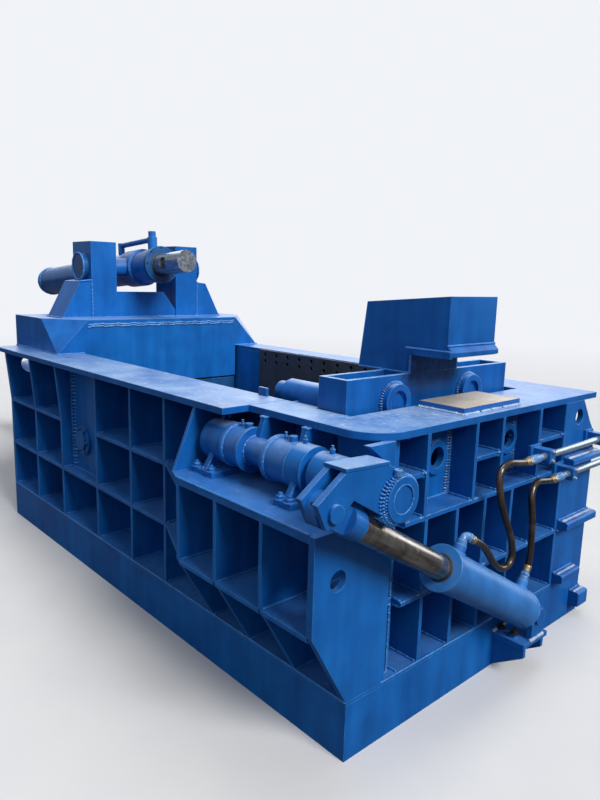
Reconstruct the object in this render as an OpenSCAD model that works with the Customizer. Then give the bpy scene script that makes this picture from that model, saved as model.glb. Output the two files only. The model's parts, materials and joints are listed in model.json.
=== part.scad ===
// Scrap baling press: welded box frame with an open pressing chamber, a lid cylinder on
// a pedestal, a main ram, a side ram, a sliding end gate and a tray that turns the bale out.
// Sizes are in millimetres. Every sub-part is drawn from the right-hand front corner of the
// skid: X runs to the left as negative values, Y runs away from the front, Z is up.
// at() then moves it to the part's own frame, whose origin is the middle of the skid's underside.

/* [Skid and walls] */
// Length of the skid
base_len = 2920; // [2860:20:3100]
// Width of the skid
base_wid = 1500; // [1500:10:1560]
// Height of the skid
skid_h = 200; // [180:5:220]
// Thickness of the skid's side plates
skid_t = 20; // [14:1:26]
// Thickness of the deck plate on the skid
deck_t = 12; // [8:1:16]
// Thickness of the stiffening ribs and shelves
rib_t = 16; // [10:1:20]
// Thickness of the wall plates
wall_t = 25; // [18:1:28]
// Depth of the open bays in the front wall
bay_depth = 225; // [215:1:226]
// Depth of the open bays in the right end wall
end_depth = 237; // [225:1:240]
// Top of the upper row of shelves
shelf_top = 752; // [740:2:760]
// Top of the lower row of shelves
shelf_low = 483; // [470:2:495]
// Diameter of the lifting hole in the left end plate
lift_d = 100; // [70:5:110]

/* [Top flange] */
// Height of the top face of the flange
flange_top = 1060; // [1055:1:1070]
// Thickness of the flange
flange_t = 25; // [18:1:30]
// Overhang of the flange past the left end of the skid
flange_left = 140; // [100:5:180]
// Overhang of the flange past the front face of the skid
flange_front = 30; // [20:1:40]
// Overhang of the flange past the far face of the skid
flange_far = 80; // [60:5:100]
// Radius of the flange's rounded front corner
corner_r = 140; // [110:5:150]

/* [Chamber] */
// Depth of the open bays in the far wall
far_depth = 80; // [75:5:100]
// Thickness of the wear liners
liner_t = 20; // [14:1:22]
// Height of the chamber floor above the ground
floor_top = 310; // [300:2:320]
// Spacing of the liner bolts along the chamber
bolt_pitch = 112; // [100:1:130]
// Diameter of the liner bolt holes
bolt_d = 26; // [18:1:30]

/* [Pedestal] */
// Height of the pedestal's top face
ped_top = 1255; // [1235:5:1270]
// Distance of the pedestal's front face from the left-hand end of the skid
ped_inset = 470; // [450:5:490]
// Length of the pedestal
ped_len = 650; // [620:5:680]
// Height of the tops of the trunnion towers
tower_top = 1720; // [1690:5:1740]
// Thickness of each tower across the machine
tower_t = 166; // [140:2:170]
// Gap between the two towers
tower_gap = 430; // [410:2:440]

/* [Lid cylinder] */
// Height of the trunnion axis
trunnion_z = 1568; // [1560:1:1580]
// Radius of the lid cylinder's barrel
lid_r = 104; // [95:1:110]
// Length of the barrel behind the trunnion
lid_back = 1500; // [1300:10:1600]
// Length of the barrel in front of the trunnion
lid_front = 276; // [265:1:290]
// Radius of the lid cylinder's rod
lid_rod_r = 66; // [58:1:68]
// Length of rod that stands out of the gland
lid_reach = 290; // [270:2:320]
// Radius of the cross hole in the rod's end
lid_eye_r = 36; // [30:1:38]
// Upward tilt of the lid cylinder
lid_tilt = 4.4; // [3.5:0.1:5]

/* [Turn-out drive] */
// Distance of the turn-out shaft behind the skid's front face
shaft_y = 48; // [46:1:50]
// Height of the turn-out shaft
shaft_z = 912; // [908:1:914]
// Radius of the turn-out shaft
shaft_r = 42; // [40:1:43]
// Radius of the bearing housings
housing_r = 80; // [76:1:84]
// Height of the platform that carries the bearings
platform_top = 800; // [794:1:804]
// Projection of the platform in front of the skid
bay_out = 158; // [150:1:164]
// Distance of the cylinder's centre plane in front of the right-hand end
cyl_x = 87; // [86:1:92]
// Radius of the turn-out cylinder's barrel
turn_r = 74; // [68:1:76]
// Radius of the turn-out cylinder's rod
turn_rod_r = 42; // [38:1:44]
// Radius of the crank pin
crank_pin_r = 26; // [22:1:28]
// Thickness of the crank's side plates
cheek_t = 20; // [16:1:20]
// Running gap of the pins and shafts in their bores
run_gap = 0.05; // [0.02:0.01:0.08]

/* [End gate] */
// Thickness of the gate beam
gate_t = 142; // [136:1:144]
// Height of the top edge of the gate beam
gate_top = 1180; // [1170:2:1190]
// Height of the underside of the jaw
jaw_z = 1254; // [1252:1:1262]
// Height of the landing pad on the flange
pad_h = 25; // [18:1:30]

/* [Rams] */
// Radius of the main ram's rod
main_rod_r = 90; // [80:2:100]
// Radius of the main cylinder's barrel
main_r = 150; // [135:1:155]
// Length of the main cylinder's barrel
main_len = 2080; // [2060:10:2150]
// Radius of the side cylinder's barrel
side_r = 95; // [80:1:98]

/* [Hidden] */
$fn = 48;

blue = [0.10, 0.33, 0.72];
dark_blue = [0.08, 0.22, 0.48];
steel = [0.55, 0.55, 0.56];
bare = [0.20, 0.20, 0.21];
chrome = [0.50, 0.46, 0.42];
rust = [0.55, 0.47, 0.36];
hose_black = [0.10, 0.08, 0.07];

gap = 0.3;
slide_gap = 2;
flange_low = flange_top - flange_t;
rib_low = skid_h + deck_t;
wall_front = bay_depth;
chamber_y0 = wall_front + wall_t + liner_t;
chamber_wid = base_wid - far_depth - wall_t - liner_t - chamber_y0;
chamber_y1 = chamber_y0 + chamber_wid;
chamber_mid = (chamber_y0 + chamber_y1) / 2;
far_wall_y = chamber_y1 + liner_t;
far_rib_y = far_wall_y + wall_t;
ped_front = base_len - ped_inset;
chamber_left = -ped_front;
end_wall_x = -end_depth - wall_t;
flange_y0 = -flange_front;
flange_y1 = base_wid + flange_far;
flange_x0 = -base_len - flange_left;

tray_x0 = -632;
tray_x1 = -437;
tray_low = 425;
finger_x1 = -566;
step_x = tray_x0;
step_y = 90;
seam_x = -270;

// Places that several sub-parts share
floor_low = floor_top - liner_t;
apron_low = 850;
platen_t = 180;
platen_top = apron_low - 12;
gate_y0 = chamber_y0 - 12;
gate_y1 = chamber_y1 - 85;
boss_ys = [gate_y0 + 254, gate_y1 - 298];
boss_z = 1080;
ring_ys = [534, base_wid - 480];
ring_z = 903;
ring_r = 62;
recess_x = -108;
gate_slot_x1 = end_wall_x;
gate_slot_y1 = chamber_y1 - 27;
side_x0 = tray_x0 + 2;
side_x1 = tray_x1 - 4;
side_top = platen_top;
side_mid = (side_x0 + side_x1) / 2;
side_z = 572;
side_plate_y = base_wid;

// The crank pin from the shaft's axis, and the line of the turn-out cylinder from that pin to its base
boss_x1 = 146;
cheek_a = 46;
cheek_b = 108;
pin_y = -262;
pin_z = 12;
pin_at = [pin_y, pin_z];
base_y = 946;
base_z = 244;
base_pin_r = 24;
ear_r = 40;
bracket_top = 150;
bracket_t = 20;
bracket_out = 140;
bracket_y0 = 850;
bracket_y1 = 1030;
rod_len = norm([base_y - shaft_y - pin_y, base_z - shaft_z - pin_z]);
rod_dir = [base_y - shaft_y - pin_y, base_z - shaft_z - pin_z] / rod_len;
rod_nrm = [-rod_dir[1], rod_dir[0]];
gland_at = 634;
barrel_end = rod_len - 46;
turn_wall = 14;

module at() translate([base_len / 2, -base_wid / 2, 0]) children();

// A cylinder along X from x0 to x1 round the line y, z
module rod_x(x0, x1, y, z, r) translate([x0, y, z]) rotate([0, 90, 0]) cylinder(h = x1 - x0, r = r);

// A cylinder along Y from y0 to y1 round the line x, z
module rod_y(y0, y1, x, z, r) translate([x, y0, z]) rotate([-90, 0, 0]) cylinder(h = y1 - y0, r = r);

// A box between two corners
module block(a, b) translate(a) cube(b - a);

// A plate across X from x to x + t whose outline is given as [y, z] points
module plate_x(x, t, outline) translate([x, 0, 0]) rotate([90, 0, 90]) linear_extrude(t) polygon(outline);

// A plate across Y from y to y + t whose outline is given as [x, z] points
module plate_y(y, t, outline) translate([0, y + t, 0]) rotate([90, 0, 0]) linear_extrude(t) polygon(outline);

// A level plate from z up to z + t whose outline is given as [x, y] points
module plate_z(z, t, outline) translate([0, 0, z]) linear_extrude(t) polygon(outline);

// A hexagonal bolt head or nut standing on z
module hex_z(x, y, z, across, h) translate([x, y, z]) cylinder(h = h, r = across / sqrt(3), $fn = 6);

// Skid and chamber floor
beam_t = 16;
module skid() at() color(blue) {
    difference() {
        block([-base_len, 0, 0], [0, base_wid, skid_h]);
        translate([0, 0, skid_t])
            block([-base_len + skid_t, skid_t, 0], [-skid_t, base_wid - skid_t, skid_h]);
    }
}

module deck_plate() at() color(blue) block([-base_len, 0, skid_h], [0, base_wid, rib_low]);

module floor_beams() at() color(blue)
    for (i = [0 : 7])
        let (x = chamber_left - 150 + i * (ped_front + 150 + end_wall_x - beam_t) / 7)
            block([x, wall_front + wall_t, rib_low], [x + beam_t, far_wall_y, floor_low]);

module floor_liner() at() color(bare)
    block([chamber_left - 250, wall_front + wall_t, floor_low], [end_wall_x, far_wall_y, floor_top]);

// Front wall
front_rib_offsets = [386, 750, 1170, 1524, 1820];
front_rib_xs = [for (d = front_rib_offsets) -base_len + d];
bay_left_x = -740;
bay_step_x = -830;

module front_wall_plate() at() color(blue) {
    block([-base_len + wall_t, wall_front, rib_low], [tray_x0 - slide_gap, wall_front + wall_t, flange_low]);
    block([tray_x0 - slide_gap, wall_front, rib_low], [finger_x1 + slide_gap, wall_front + wall_t, floor_low]);
    block([finger_x1 + slide_gap, wall_front, rib_low], [tray_x1 + slide_gap, wall_front + wall_t, tray_low - slide_gap]);
    block([tray_x1 + slide_gap, wall_front, rib_low], [seam_x, wall_front + wall_t, flange_low - 5]);
    block([seam_x, wall_front, rib_low], [-rib_t - wall_t, wall_front + wall_t, flange_low]);
}

module front_liner() at() color(bare)
    block([chamber_left, wall_front + wall_t, floor_top], [tray_x0 - slide_gap, chamber_y0, flange_low]);

// A rib's front edge leans out under the flange above the upper shelf
module flared_rib(x)
    plate_x(x, rib_t, [[0, rib_low], [wall_front, rib_low], [wall_front, flange_low],
        [flange_y0 + 4, flange_low], [0, shelf_top]]);

module plain_rib(x)
    plate_x(x, rib_t, [[0, rib_low], [wall_front, rib_low], [wall_front, flange_low], [0, flange_low]]);

module front_ribs() at() color(blue) {
    for (i = [0, 1]) flared_rib(front_rib_xs[i]);
    for (i = [2, 3, 4]) plain_rib(front_rib_xs[i]);
}

// Shelf between two ribs
module front_shelf(x0, x1, top) block([x0, 0, top - rib_t], [x1, wall_front, top]);

module front_shelves() at() color(blue) {
    starts = concat([-base_len + wall_t], [for (x = front_rib_xs) x + rib_t]);
    for (i = [0 : 4]) {
        front_shelf(starts[i], front_rib_xs[i], shelf_low);
        if (i != 2) front_shelf(starts[i], front_rib_xs[i], shelf_top);
    }
    for (top = [shelf_low, shelf_top])
        plate_z(top - rib_t, rib_t, [[starts[5], 0], [bay_left_x, -bay_out + rib_t],
            [bay_left_x, wall_front], [starts[5], wall_front]]);
}

// Shallow back plate of the column under the pedestal, with a bolted round cover
recess_y = 63;
cover_x = front_rib_xs[1] + rib_t + 149;
cover_z = 654;
module round_cover() at() color(blue) {
    block([front_rib_xs[1] + rib_t, recess_y, shelf_low], [front_rib_xs[2], recess_y + rib_t, flange_low]);
    rod_y(recess_y - 16, recess_y, cover_x, cover_z, 78);
    rod_y(recess_y - 30, recess_y - 16, cover_x, cover_z, 50);
    for (a = [0 : 60 : 300])
        translate([cover_x + 64 * cos(a), recess_y - 16, cover_z + 64 * sin(a)])
            rotate([90, 0, 0]) cylinder(h = 8, r = 7, $fn = 6);
}

// Projecting bay under the turn-out shaft
bay_rib_xs = [bay_left_x, -505, -254];
platform_t = 25;
platform_low = platform_top - platform_t;
module bay_rib(x, top)
    plate_x(x, rib_t, [[0, rib_low], [wall_front, rib_low], [wall_front, top], [-bay_out, top], [-bay_out, shelf_low]]);

module bay_ribs() at() color(blue) {
    for (x = bay_rib_xs) bay_rib(x, platform_low);
    plate_x(bay_step_x, rib_t, [[-121, platform_top], [wall_front, platform_top], [wall_front, flange_low],
        [flange_y0 + 6, flange_low]]);
    plate_x(bay_step_x, rib_t, [[-100, shelf_top], [wall_front, shelf_top], [wall_front, platform_low],
        [-112, platform_low]]);
    for (i = [0 : 2])
        let (x0 = bay_rib_xs[i] + rib_t, x1 = i < 2 ? bay_rib_xs[i + 1] : -wall_t)
            block([x0, -bay_out, shelf_low - rib_t], [x1, wall_front, shelf_low]);
}

module bay_platform() at() color(blue)
    plate_z(platform_low, platform_t, [[bay_step_x, -121], [bay_left_x, -bay_out], [-wall_t, -bay_out],
        [-wall_t, wall_front], [bay_step_x, wall_front]]);

corner_y1 = 181;
corner_hole_y = -56;
corner_hole_z = 640;
module near_corner_plate() at() color(blue) difference() {
    plate_x(-wall_t, wall_t, [[0, rib_low], [corner_y1, rib_low], [corner_y1, flange_low], [58, flange_low], [124, 985],
        [145, 940], [145, platform_top], [-bay_out, platform_top], [-bay_out, shelf_low]]);
    rod_x(-wall_t - 1, 1, corner_hole_y, corner_hole_z, 34);
}

// Right end wall
row_low = 470;
row_mid = 750;
last_rib = base_wid - 198;
top_ribs = [345, 628, 805, base_wid - 415, last_rib];
low_ribs = [356, 537, 715, base_wid - 595, base_wid - 419, last_rib];
sub_shelf = 905;

module end_wall_plate() at() color(blue) difference() {
    block([end_wall_x, wall_front + wall_t, rib_low], [-end_depth, far_rib_y, flange_low]);
    for (y = ring_ys) rod_x(end_wall_x - 1, -end_depth + 1, y, ring_z, ring_r - 18);
}

module end_rib(y, z0, z1) block([-end_depth, y, z0], [0, y + rib_t, z1]);

module end_ribs() at() color(blue) {
    for (y = top_ribs) end_rib(y, row_mid, flange_low);
    for (y = low_ribs) {
        end_rib(y, rib_low, row_low - rib_t);
        end_rib(y, row_low, row_mid - rib_t);
    }
    block([-end_depth, corner_y1 - rib_t, platform_top], [-wall_t, corner_y1, flange_low]);
}

module end_shelves() at() color(blue) {
    for (top = [row_low, row_mid])
        block([-end_depth, wall_front + wall_t, top - rib_t], [0, top_ribs[4] + rib_t, top]);
    for (y = [[wall_front + wall_t, top_ribs[0]], [top_ribs[1] + rib_t, top_ribs[2]], [top_ribs[3] + rib_t, top_ribs[4]]])
        block([-end_depth, y[0], sub_shelf - rib_t], [-4, y[1], sub_shelf]);
}

// Pipe rings let into shallow back plates
module ring_collars() at() color(blue)
    for (i = [0, 1]) difference() {
        union() {
            block([recess_x - rib_t, top_ribs[2 * i] + rib_t, row_mid], [recess_x, top_ribs[2 * i + 1], flange_low]);
            rod_x(recess_x, recess_x + 14, ring_ys[i], ring_z, ring_r);
        }
        rod_x(recess_x - rib_t - 1, recess_x + 15, ring_ys[i], ring_z, ring_r - 22);
    }

far_out = base_wid + 100;
far_hole_y = base_wid - 67;
far_hole_z = 963;
far_face_top = 864;
module far_corner_outline(x, t, y0) difference() {
    plate_x(x, t, [[y0, rib_low], [base_wid, rib_low], [base_wid, 0], [far_out, 0], [far_out, far_face_top],
        [base_wid + 43, 930], [base_wid - 34, flange_low], [y0, flange_low]]);
    rod_x(x - 1, x + t + 1, far_hole_y, far_hole_z, 35);
}

module far_corner_plates() at() color(blue) {
    far_corner_outline(-wall_t, wall_t, top_ribs[4] + rib_t);
    far_corner_outline(end_wall_x, wall_t, far_rib_y);
    block([-end_depth, far_out - rib_t, 0], [-wall_t, far_out, far_face_top]);
}

ledge_out = 48;
module ledge(y0, y1, z0, z1)
    plate_y(y0, y1 - y0, [[0, z0], [ledge_out, z0 + 14], [ledge_out, z1 - 6], [ledge_out - 8, z1], [0, z1]]);

module end_ledges() at() color(blue) {
    ledge(last_rib + 20, far_out, 757, 795);
    ledge(last_rib + 20, far_out, 462, 509);
    ledge(last_rib + 20, base_wid - 10, 214, 262);
    ledge(base_wid + 10, far_out, 42, 122);
}

// Far wall and left end, out of the photograph's sight
module far_wall_plate() at() color(blue) difference() {
    block([-base_len + wall_t, far_wall_y, rib_low], [end_wall_x, far_rib_y, flange_low]);
    block([side_x0 - slide_gap, far_wall_y - 1, floor_low], [side_x1 + slide_gap, far_rib_y + 1, side_top + slide_gap]);
}

far_rib_xs = concat([for (i = [0, 1, 2, 3, 4]) front_rib_xs[i]], [side_x0 - 90, side_x1 + 70]);
module far_ribs() at() color(blue) {
    for (x = far_rib_xs) block([x, far_rib_y, rib_low], [x + rib_t, base_wid, flange_low]);
    starts = concat([-base_len + wall_t], [for (x = far_rib_xs) x + rib_t]);
    for (i = [0 : 5]) for (top = [shelf_low, shelf_top])
        block([starts[i], far_rib_y, top - rib_t], [far_rib_xs[i], base_wid, top]);
}

far_liner_x0 = chamber_left + 275;
liner_holes = floor((tray_x0 - far_liner_x0 - 100) / bolt_pitch);
liner_hole_z = flange_top - 33;
module far_liner() at() color(bare) difference() {
    block([far_liner_x0, chamber_y1, floor_top], [side_x0 - slide_gap, far_wall_y, flange_top - 4]);
    for (i = [0 : liner_holes], z = [liner_hole_z, liner_hole_z - 45])
        rod_y(chamber_y1 - 1, far_wall_y + 1, far_liner_x0 + 60 + i * bolt_pitch, z, bolt_d / 2);
}

main_y = chamber_mid;
main_z = 572;
module left_end_plate() at() color(blue) difference() {
    plate_x(-base_len, wall_t, [[0, rib_low], [base_wid, rib_low], [base_wid, flange_low],
        [flange_y0 + 4, flange_low], [0, shelf_top]]);
    rod_x(-base_len - 1, -base_len + wall_t + 1, 112, 962, lift_d / 2);
    rod_x(-base_len - 1, -base_len + wall_t + 1, main_y, main_z, main_r + gap);
}

// Top flange
module top_flange_front() at() color(blue)
    plate_z(flange_low, flange_t, [[flange_x0, flange_y0 + 40], [flange_x0 + 40, flange_y0], [step_x, flange_y0],
        [step_x, chamber_y0], [flange_x0, chamber_y0]]);

module top_flange_end() at() color(blue) {
    arc = [for (a = [0 : 7.5 : 90]) [-corner_r + corner_r * sin(a), step_y + corner_r - corner_r * cos(a)]];
    plate_z(flange_low, flange_t, concat([[seam_x + 2, step_y]], arc,
        [[0, flange_y1], [gate_slot_x1, flange_y1], [gate_slot_x1, wall_front + wall_t], [seam_x + 2, wall_front + wall_t]]));
}

module top_flange_far() at() color(blue)
    plate_z(flange_low, flange_t, [[flange_x0, far_wall_y], [tray_x1 - 3, far_wall_y], [tray_x1 - 3, gate_slot_y1],
        [gate_slot_x1, gate_slot_y1], [gate_slot_x1, flange_y1], [flange_x0, flange_y1]]);

pad_x0 = -240;
pad_x1 = -40;
pad_y0 = 600;
pad_y1 = 980;
module landing_pad() at() color(rust) block([pad_x0, pad_y0, flange_top], [pad_x1, pad_y1, flange_top + pad_h]);

// Pedestal with the trunnion towers
ped_y0 = 112;
ped_y1 = flange_y1 - 20;
ped_back = -ped_front - ped_len;
cut_x = 223;
cut_y = 188;
module pedestal() at() color(blue) {
    hull() {
        plate_z(flange_top, 1, [[ped_back, ped_y0], [-ped_front, ped_y0], [-ped_front, ped_y1], [ped_back, ped_y1]]);
        plate_z(ped_top - 1, 1, [[ped_back, ped_y0], [-ped_front - cut_x, ped_y0], [-ped_front, ped_y0 + cut_y],
            [-ped_front, ped_y1 - cut_y], [-ped_front - cut_x, ped_y1], [ped_back, ped_y1]]);
    }
    block([-ped_front - wall_t, chamber_y0 + gap, apron_low], [-ped_front, chamber_y1 - gap, flange_top]);
}

tower_x1 = -ped_front - 190;
tower_x0 = tower_x1 - 260;
trunnion_x = tower_x1 - 110;
lid_y = 800;
tower_y0 = lid_y - tower_gap / 2 - tower_t;
pin_r = 60;
cap_out = 34;
cap_r = 80;

// Outline of a tower seen from the chamber, with the foot flaring away from the cylinder
module tower() {
    foot = 190;
    difference() {
        union() {
            plate_x(tower_x0, tower_x1 - tower_x0, [[0, ped_top], [tower_t, ped_top], [tower_t, tower_top], [0, tower_top]]);
            plate_x(tower_x0 + 30, tower_x1 - tower_x0 - 30, [[-foot, ped_top], [0, ped_top], [0, 1486], [-72, 1478]]);
        }
        rod_y(-1, tower_t + 1, trunnion_x, trunnion_z, pin_r + run_gap);
    }
}

module tower_near() at() color(blue) translate([0, tower_y0, 0]) tower();

module tower_far() at() color(blue) translate([0, 2 * lid_y - tower_y0, 0]) mirror([0, 1, 0]) tower();

module saddle_plate() at() color(blue) {
    y0 = lid_y - tower_gap / 2;
    plate_x(tower_x1 - rib_t - 10, rib_t, [[y0, ped_top], [y0 + tower_gap, ped_top], [y0 + tower_gap, 1300],
        [y0 + tower_gap - 90, 1417], [y0, 1417]]);
    block([tower_x0 + 20, y0, ped_top], [tower_x0 + 20 + rib_t, y0 + tower_gap, 1330]);
}

module trunnion_caps() at() color(dark_blue) {
    translate([0, tower_y0, 0]) difference() {
        rod_y(-cap_out, 0, trunnion_x, trunnion_z, cap_r);
        rod_y(-cap_out + 12, 1, trunnion_x, trunnion_z, pin_r + run_gap);
    }
    translate([0, 2 * lid_y - tower_y0, 0]) mirror([0, 1, 0]) difference() {
        rod_y(-cap_out, 0, trunnion_x, trunnion_z, cap_r);
        rod_y(-cap_out + 12, 1, trunnion_x, trunnion_z, pin_r + run_gap);
    }
}

// Lid cylinder, drawn level along X from its trunnion and then tilted
module lid_frame() translate([trunnion_x, lid_y, trunnion_z]) rotate([0, -lid_tilt, 0]) children();

lid_wall = 16;
lid_flange_t = 22;
module lid_barrel() at() color(blue) lid_frame() difference() {
    union() {
        rod_x(-lid_back, lid_front, 0, 0, lid_r);
        rod_x(-78, 78, 0, 0, lid_r + 14);
        rod_x(-lid_back + 40, -lid_back + 52, 0, 0, lid_r + 4);
        rod_y(-tower_gap / 2 - tower_t - 16, tower_gap / 2 + tower_t + 16, 0, 0, pin_r);
    }
    rod_x(-lid_back + 30, lid_front + 1, 0, 0, lid_r - lid_wall);
}

module lid_gland() at() color(steel) lid_frame() difference() {
    union() {
        rod_x(lid_front, lid_front + lid_flange_t, 0, 0, lid_r + 12);
        rod_x(lid_front - 60, lid_front, 0, 0, lid_r - lid_wall);
    }
    rod_x(lid_front - 61, lid_front + lid_flange_t + 1, 0, 0, lid_rod_r + run_gap);
    for (a = [0 : 45 : 315])
        rod_x(lid_front + 6, lid_front + lid_flange_t + 1, (lid_r - 2) * cos(a), (lid_r - 2) * sin(a), 7);
}

port_x = 196;
module lid_port_pipe() at() color(blue) lid_frame() difference() {
    union() {
        rod_z(port_x, 0, lid_r - 3, lid_r + 76, 30);
        rod_z(port_x, 0, lid_r + 76, lid_r + 112, 24);
        rod_x(port_x - 420, port_x, 0, lid_r + 62, 17);
        rod_z(port_x - 420, 0, lid_r - 3, lid_r + 78, 22);
    }
    rod_x(-lid_back, lid_front, 0, 0, lid_r);
    rod_x(-78, 78, 0, 0, lid_r + 14);
}

// An upright cylinder from z0 to z1
module rod_z(x, y, z0, z1, r) translate([x, y, z0]) cylinder(h = z1 - z0, r = r);

piston_t = 90;
module lid_rod() at() color(chrome) lid_frame() difference() {
    union() {
        rod_x(-lid_back + 50 + piston_t, lid_front + lid_flange_t + lid_reach, 0, 0, lid_rod_r);
        rod_x(-lid_back + 50, -lid_back + 50 + piston_t, 0, 0, lid_r - lid_wall - gap);
    }
    rod_y(-lid_rod_r - 1, lid_rod_r + 1, lid_front + lid_flange_t + lid_reach - 178, 0, lid_eye_r);
}

// Bearings of the turn-out shaft
bearing_a = [-773, -651];
bearing_b = [-289, -216];
foot_h = 20;
module bearing(x0, x1) difference() {
    union() {
        rod_x(x0, x1, shaft_y, shaft_z, housing_r);
        block([x0 - 6, shaft_y - 114, platform_top], [x1 + 6, shaft_y + 114, platform_top + foot_h]);
        plate_x((x0 + x1) / 2 - 9, 18, [[shaft_y - 100, platform_top + foot_h], [shaft_y + 100, platform_top + foot_h],
            [shaft_y + 56, shaft_z], [shaft_y - 56, shaft_z]]);
        rod_z((x0 + x1) / 2 - 20, shaft_y, shaft_z + housing_r - 6, shaft_z + housing_r + 14, 8);
    }
    rod_x(x0 - 10, x1 + 10, shaft_y, shaft_z, shaft_r + run_gap);
}

module bearing_left() at() color(blue) bearing(bearing_a[0], bearing_a[1]);

module bearing_right() at() color(blue) bearing(bearing_b[0], bearing_b[1]);

module foot_bolts() at() color(blue)
    for (b = [bearing_a, bearing_b], x = [b[0] + 14, b[1] - 14], s = [-1, 1])
        translate([x, shaft_y + s * 102, platform_top + foot_h]) {
            hex_z(0, 0, 0, 24, 14);
            rod_z(0, 0, 14, 24, 7);
        }

// Turn-out shaft with the crank
module shaft_frame() translate([0, shaft_y, shaft_z]) children();

module turnout_shaft() at() color(blue) rod_x(bearing_a[0] + 8, boss_x1 - 4, shaft_y, shaft_z, shaft_r);

module crank_hub() at() color(blue) shaft_frame() difference() {
    union() {
        rod_x(bearing_b[1] + 25, cheek_a - gap, 0, 0, 72);
        rod_x(cheek_a + cheek_t + gap, cheek_b - gap, 0, 0, 68);
        rod_x(cheek_b + cheek_t + gap, boss_x1, 0, 0, 68);
        rod_z(bearing_b[1] + 70, 0, 66, 88, 9);
        rod_z(cheek_b + cheek_t + 9, -22, 60, 82, 8);
    }
    rod_x(bearing_b[1], boss_x1 + 1, 0, 0, shaft_r + run_gap);
}

// Side plate of the crank, from the pin's eye past the notch to the shaft's boss
notch_gap = turn_rod_r + 12;
cheek_outline = concat(
    [pin_at + [-64, 33], [-222, 116], [-51, 108]],
    [for (a = [62 : -12 : -100]) 76 * [cos(a), sin(a)]],
    [pin_at + 196 * rod_dir + notch_gap * rod_nrm, pin_at + 52 * rod_dir + notch_gap * rod_nrm,
     pin_at + [4, -36], pin_at + [-28, -42]]);

module cheek(x) difference() {
    plate_x(x, cheek_t, cheek_outline);
    rod_x(x - 1, x + cheek_t + 1, 0, 0, shaft_r + run_gap);
    rod_x(x - 1, x + cheek_t + 1, pin_y, pin_z, crank_pin_r);
}

module crank_fork() at() color(blue) shaft_frame() {
    cheek(cheek_a);
    cheek(cheek_b);
    plate_x(cheek_a - 2, cheek_b + cheek_t - cheek_a + 4, [[-226, 116.4], [-50, 108.4], [-50, 118], [-226, 126]]);
}

module crank_pin_caps() at() color(blue) shaft_frame() {
    rod_x(cheek_a - 10, cheek_a + cheek_t, pin_y, pin_z, crank_pin_r);
    rod_x(cheek_b, cheek_b + cheek_t + 12, pin_y, pin_z, crank_pin_r);
}

// Hubs that carry the tray on the shaft
hub_a = [-648, -541];
hub_b = [-412, -292];
hub_r = 76;
tube_r = 50;
arm_a = -528;
arm_b = -306;
arm_t = 24;
module tray_hub(x0, x1) {
    rod_x(x0, x1, 0, 0, hub_r);
    rod_x(x0, x0 + 14, 0, 0, hub_r + 8);
    rod_z((x0 + x1) / 2 + 20, 0, 70, 94, 15);
    rod_z((x0 + x1) / 2 - 18, 0, 70, 88, 8);
}

module tray_hubs() at() color(blue) shaft_frame() difference() {
    union() {
        tray_hub(hub_a[0], hub_a[1]);
        tray_hub(hub_b[0], hub_b[1]);
        rod_x(hub_a[1] - 14, hub_a[1], 0, 0, hub_r + 8);
        rod_x(hub_a[1], hub_b[0], 0, 0, tube_r);
    }
    rod_x(hub_a[0] - 1, hub_b[1] + 1, 0, 0, shaft_r + run_gap);
}

// Tray: flange, two arms, wall and toe
tray_a = tray_x0 + slide_gap + 2;
tray_b = tray_x1 - slide_gap - 2;
toe_reach = 600;
toe_low = floor_top + slide_gap;
module tray() at() color(blue) {
    plate_z(flange_low, flange_t, [[tray_a, step_y], [seam_x, step_y], [seam_x, wall_front + wall_t],
        [tray_b, wall_front + wall_t], [tray_b, chamber_y0], [tray_a, chamber_y0]]);
    block([tray_a, wall_front + 3, tray_low], [tray_b, chamber_y0, flange_low]);
    block([tray_a, wall_front + 3, toe_low], [finger_x1, chamber_y0, tray_low]);
    block([tray_a, chamber_y0, toe_low], [finger_x1, toe_reach, toe_low + 25]);
    plate_x((tray_a + finger_x1) / 2 - 12, 24, [[chamber_y0, toe_low + 25], [chamber_y0 + 120, toe_low + 25],
        [chamber_y0, toe_low + 145]]);
    arm(arm_a, wall_front + 3, 830);
    arm(arm_b, 200, 858);
    latch_cylinder();
}

// Small cylinder that lies along the chamber on a saddle at the tray's wall
latch_y = 370;
latch_z = 1070;
module latch_cylinder() difference() {
    union() {
        block([tray_a + 20, chamber_y0, latch_z - 50], [tray_b - 20, latch_y, latch_z - 20]);
        rod_x(tray_b - 270, tray_b, latch_y, latch_z, 56);
        rod_x(tray_b - 330, tray_b - 270, latch_y, latch_z, 40);
    }
    rod_x(tray_b - 331, tray_b - 290, latch_y, latch_z, 24);
}

// Arm from a hub's back up to the tray's flange
module arm(x, y1, low) difference() {
    plate_x(x - arm_t / 2, arm_t, [[shaft_y + 26, flange_low], [y1, flange_low], [y1, low], [shaft_y + 60, 838],
        [shaft_y, shaft_z - 60], [shaft_y, shaft_z + 40]]);
    rod_x(x - arm_t, x + arm_t, shaft_y, shaft_z, arm_hub_r(x));
}
function arm_hub_r(x) = x == arm_a ? tube_r : hub_r;

// Turn-out cylinder
module cyl_frame() translate([cyl_x, shaft_y + pin_y, shaft_z + pin_z])
    rotate([-atan2(-rod_dir[1], rod_dir[0]), 0, 0]) children();

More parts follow.
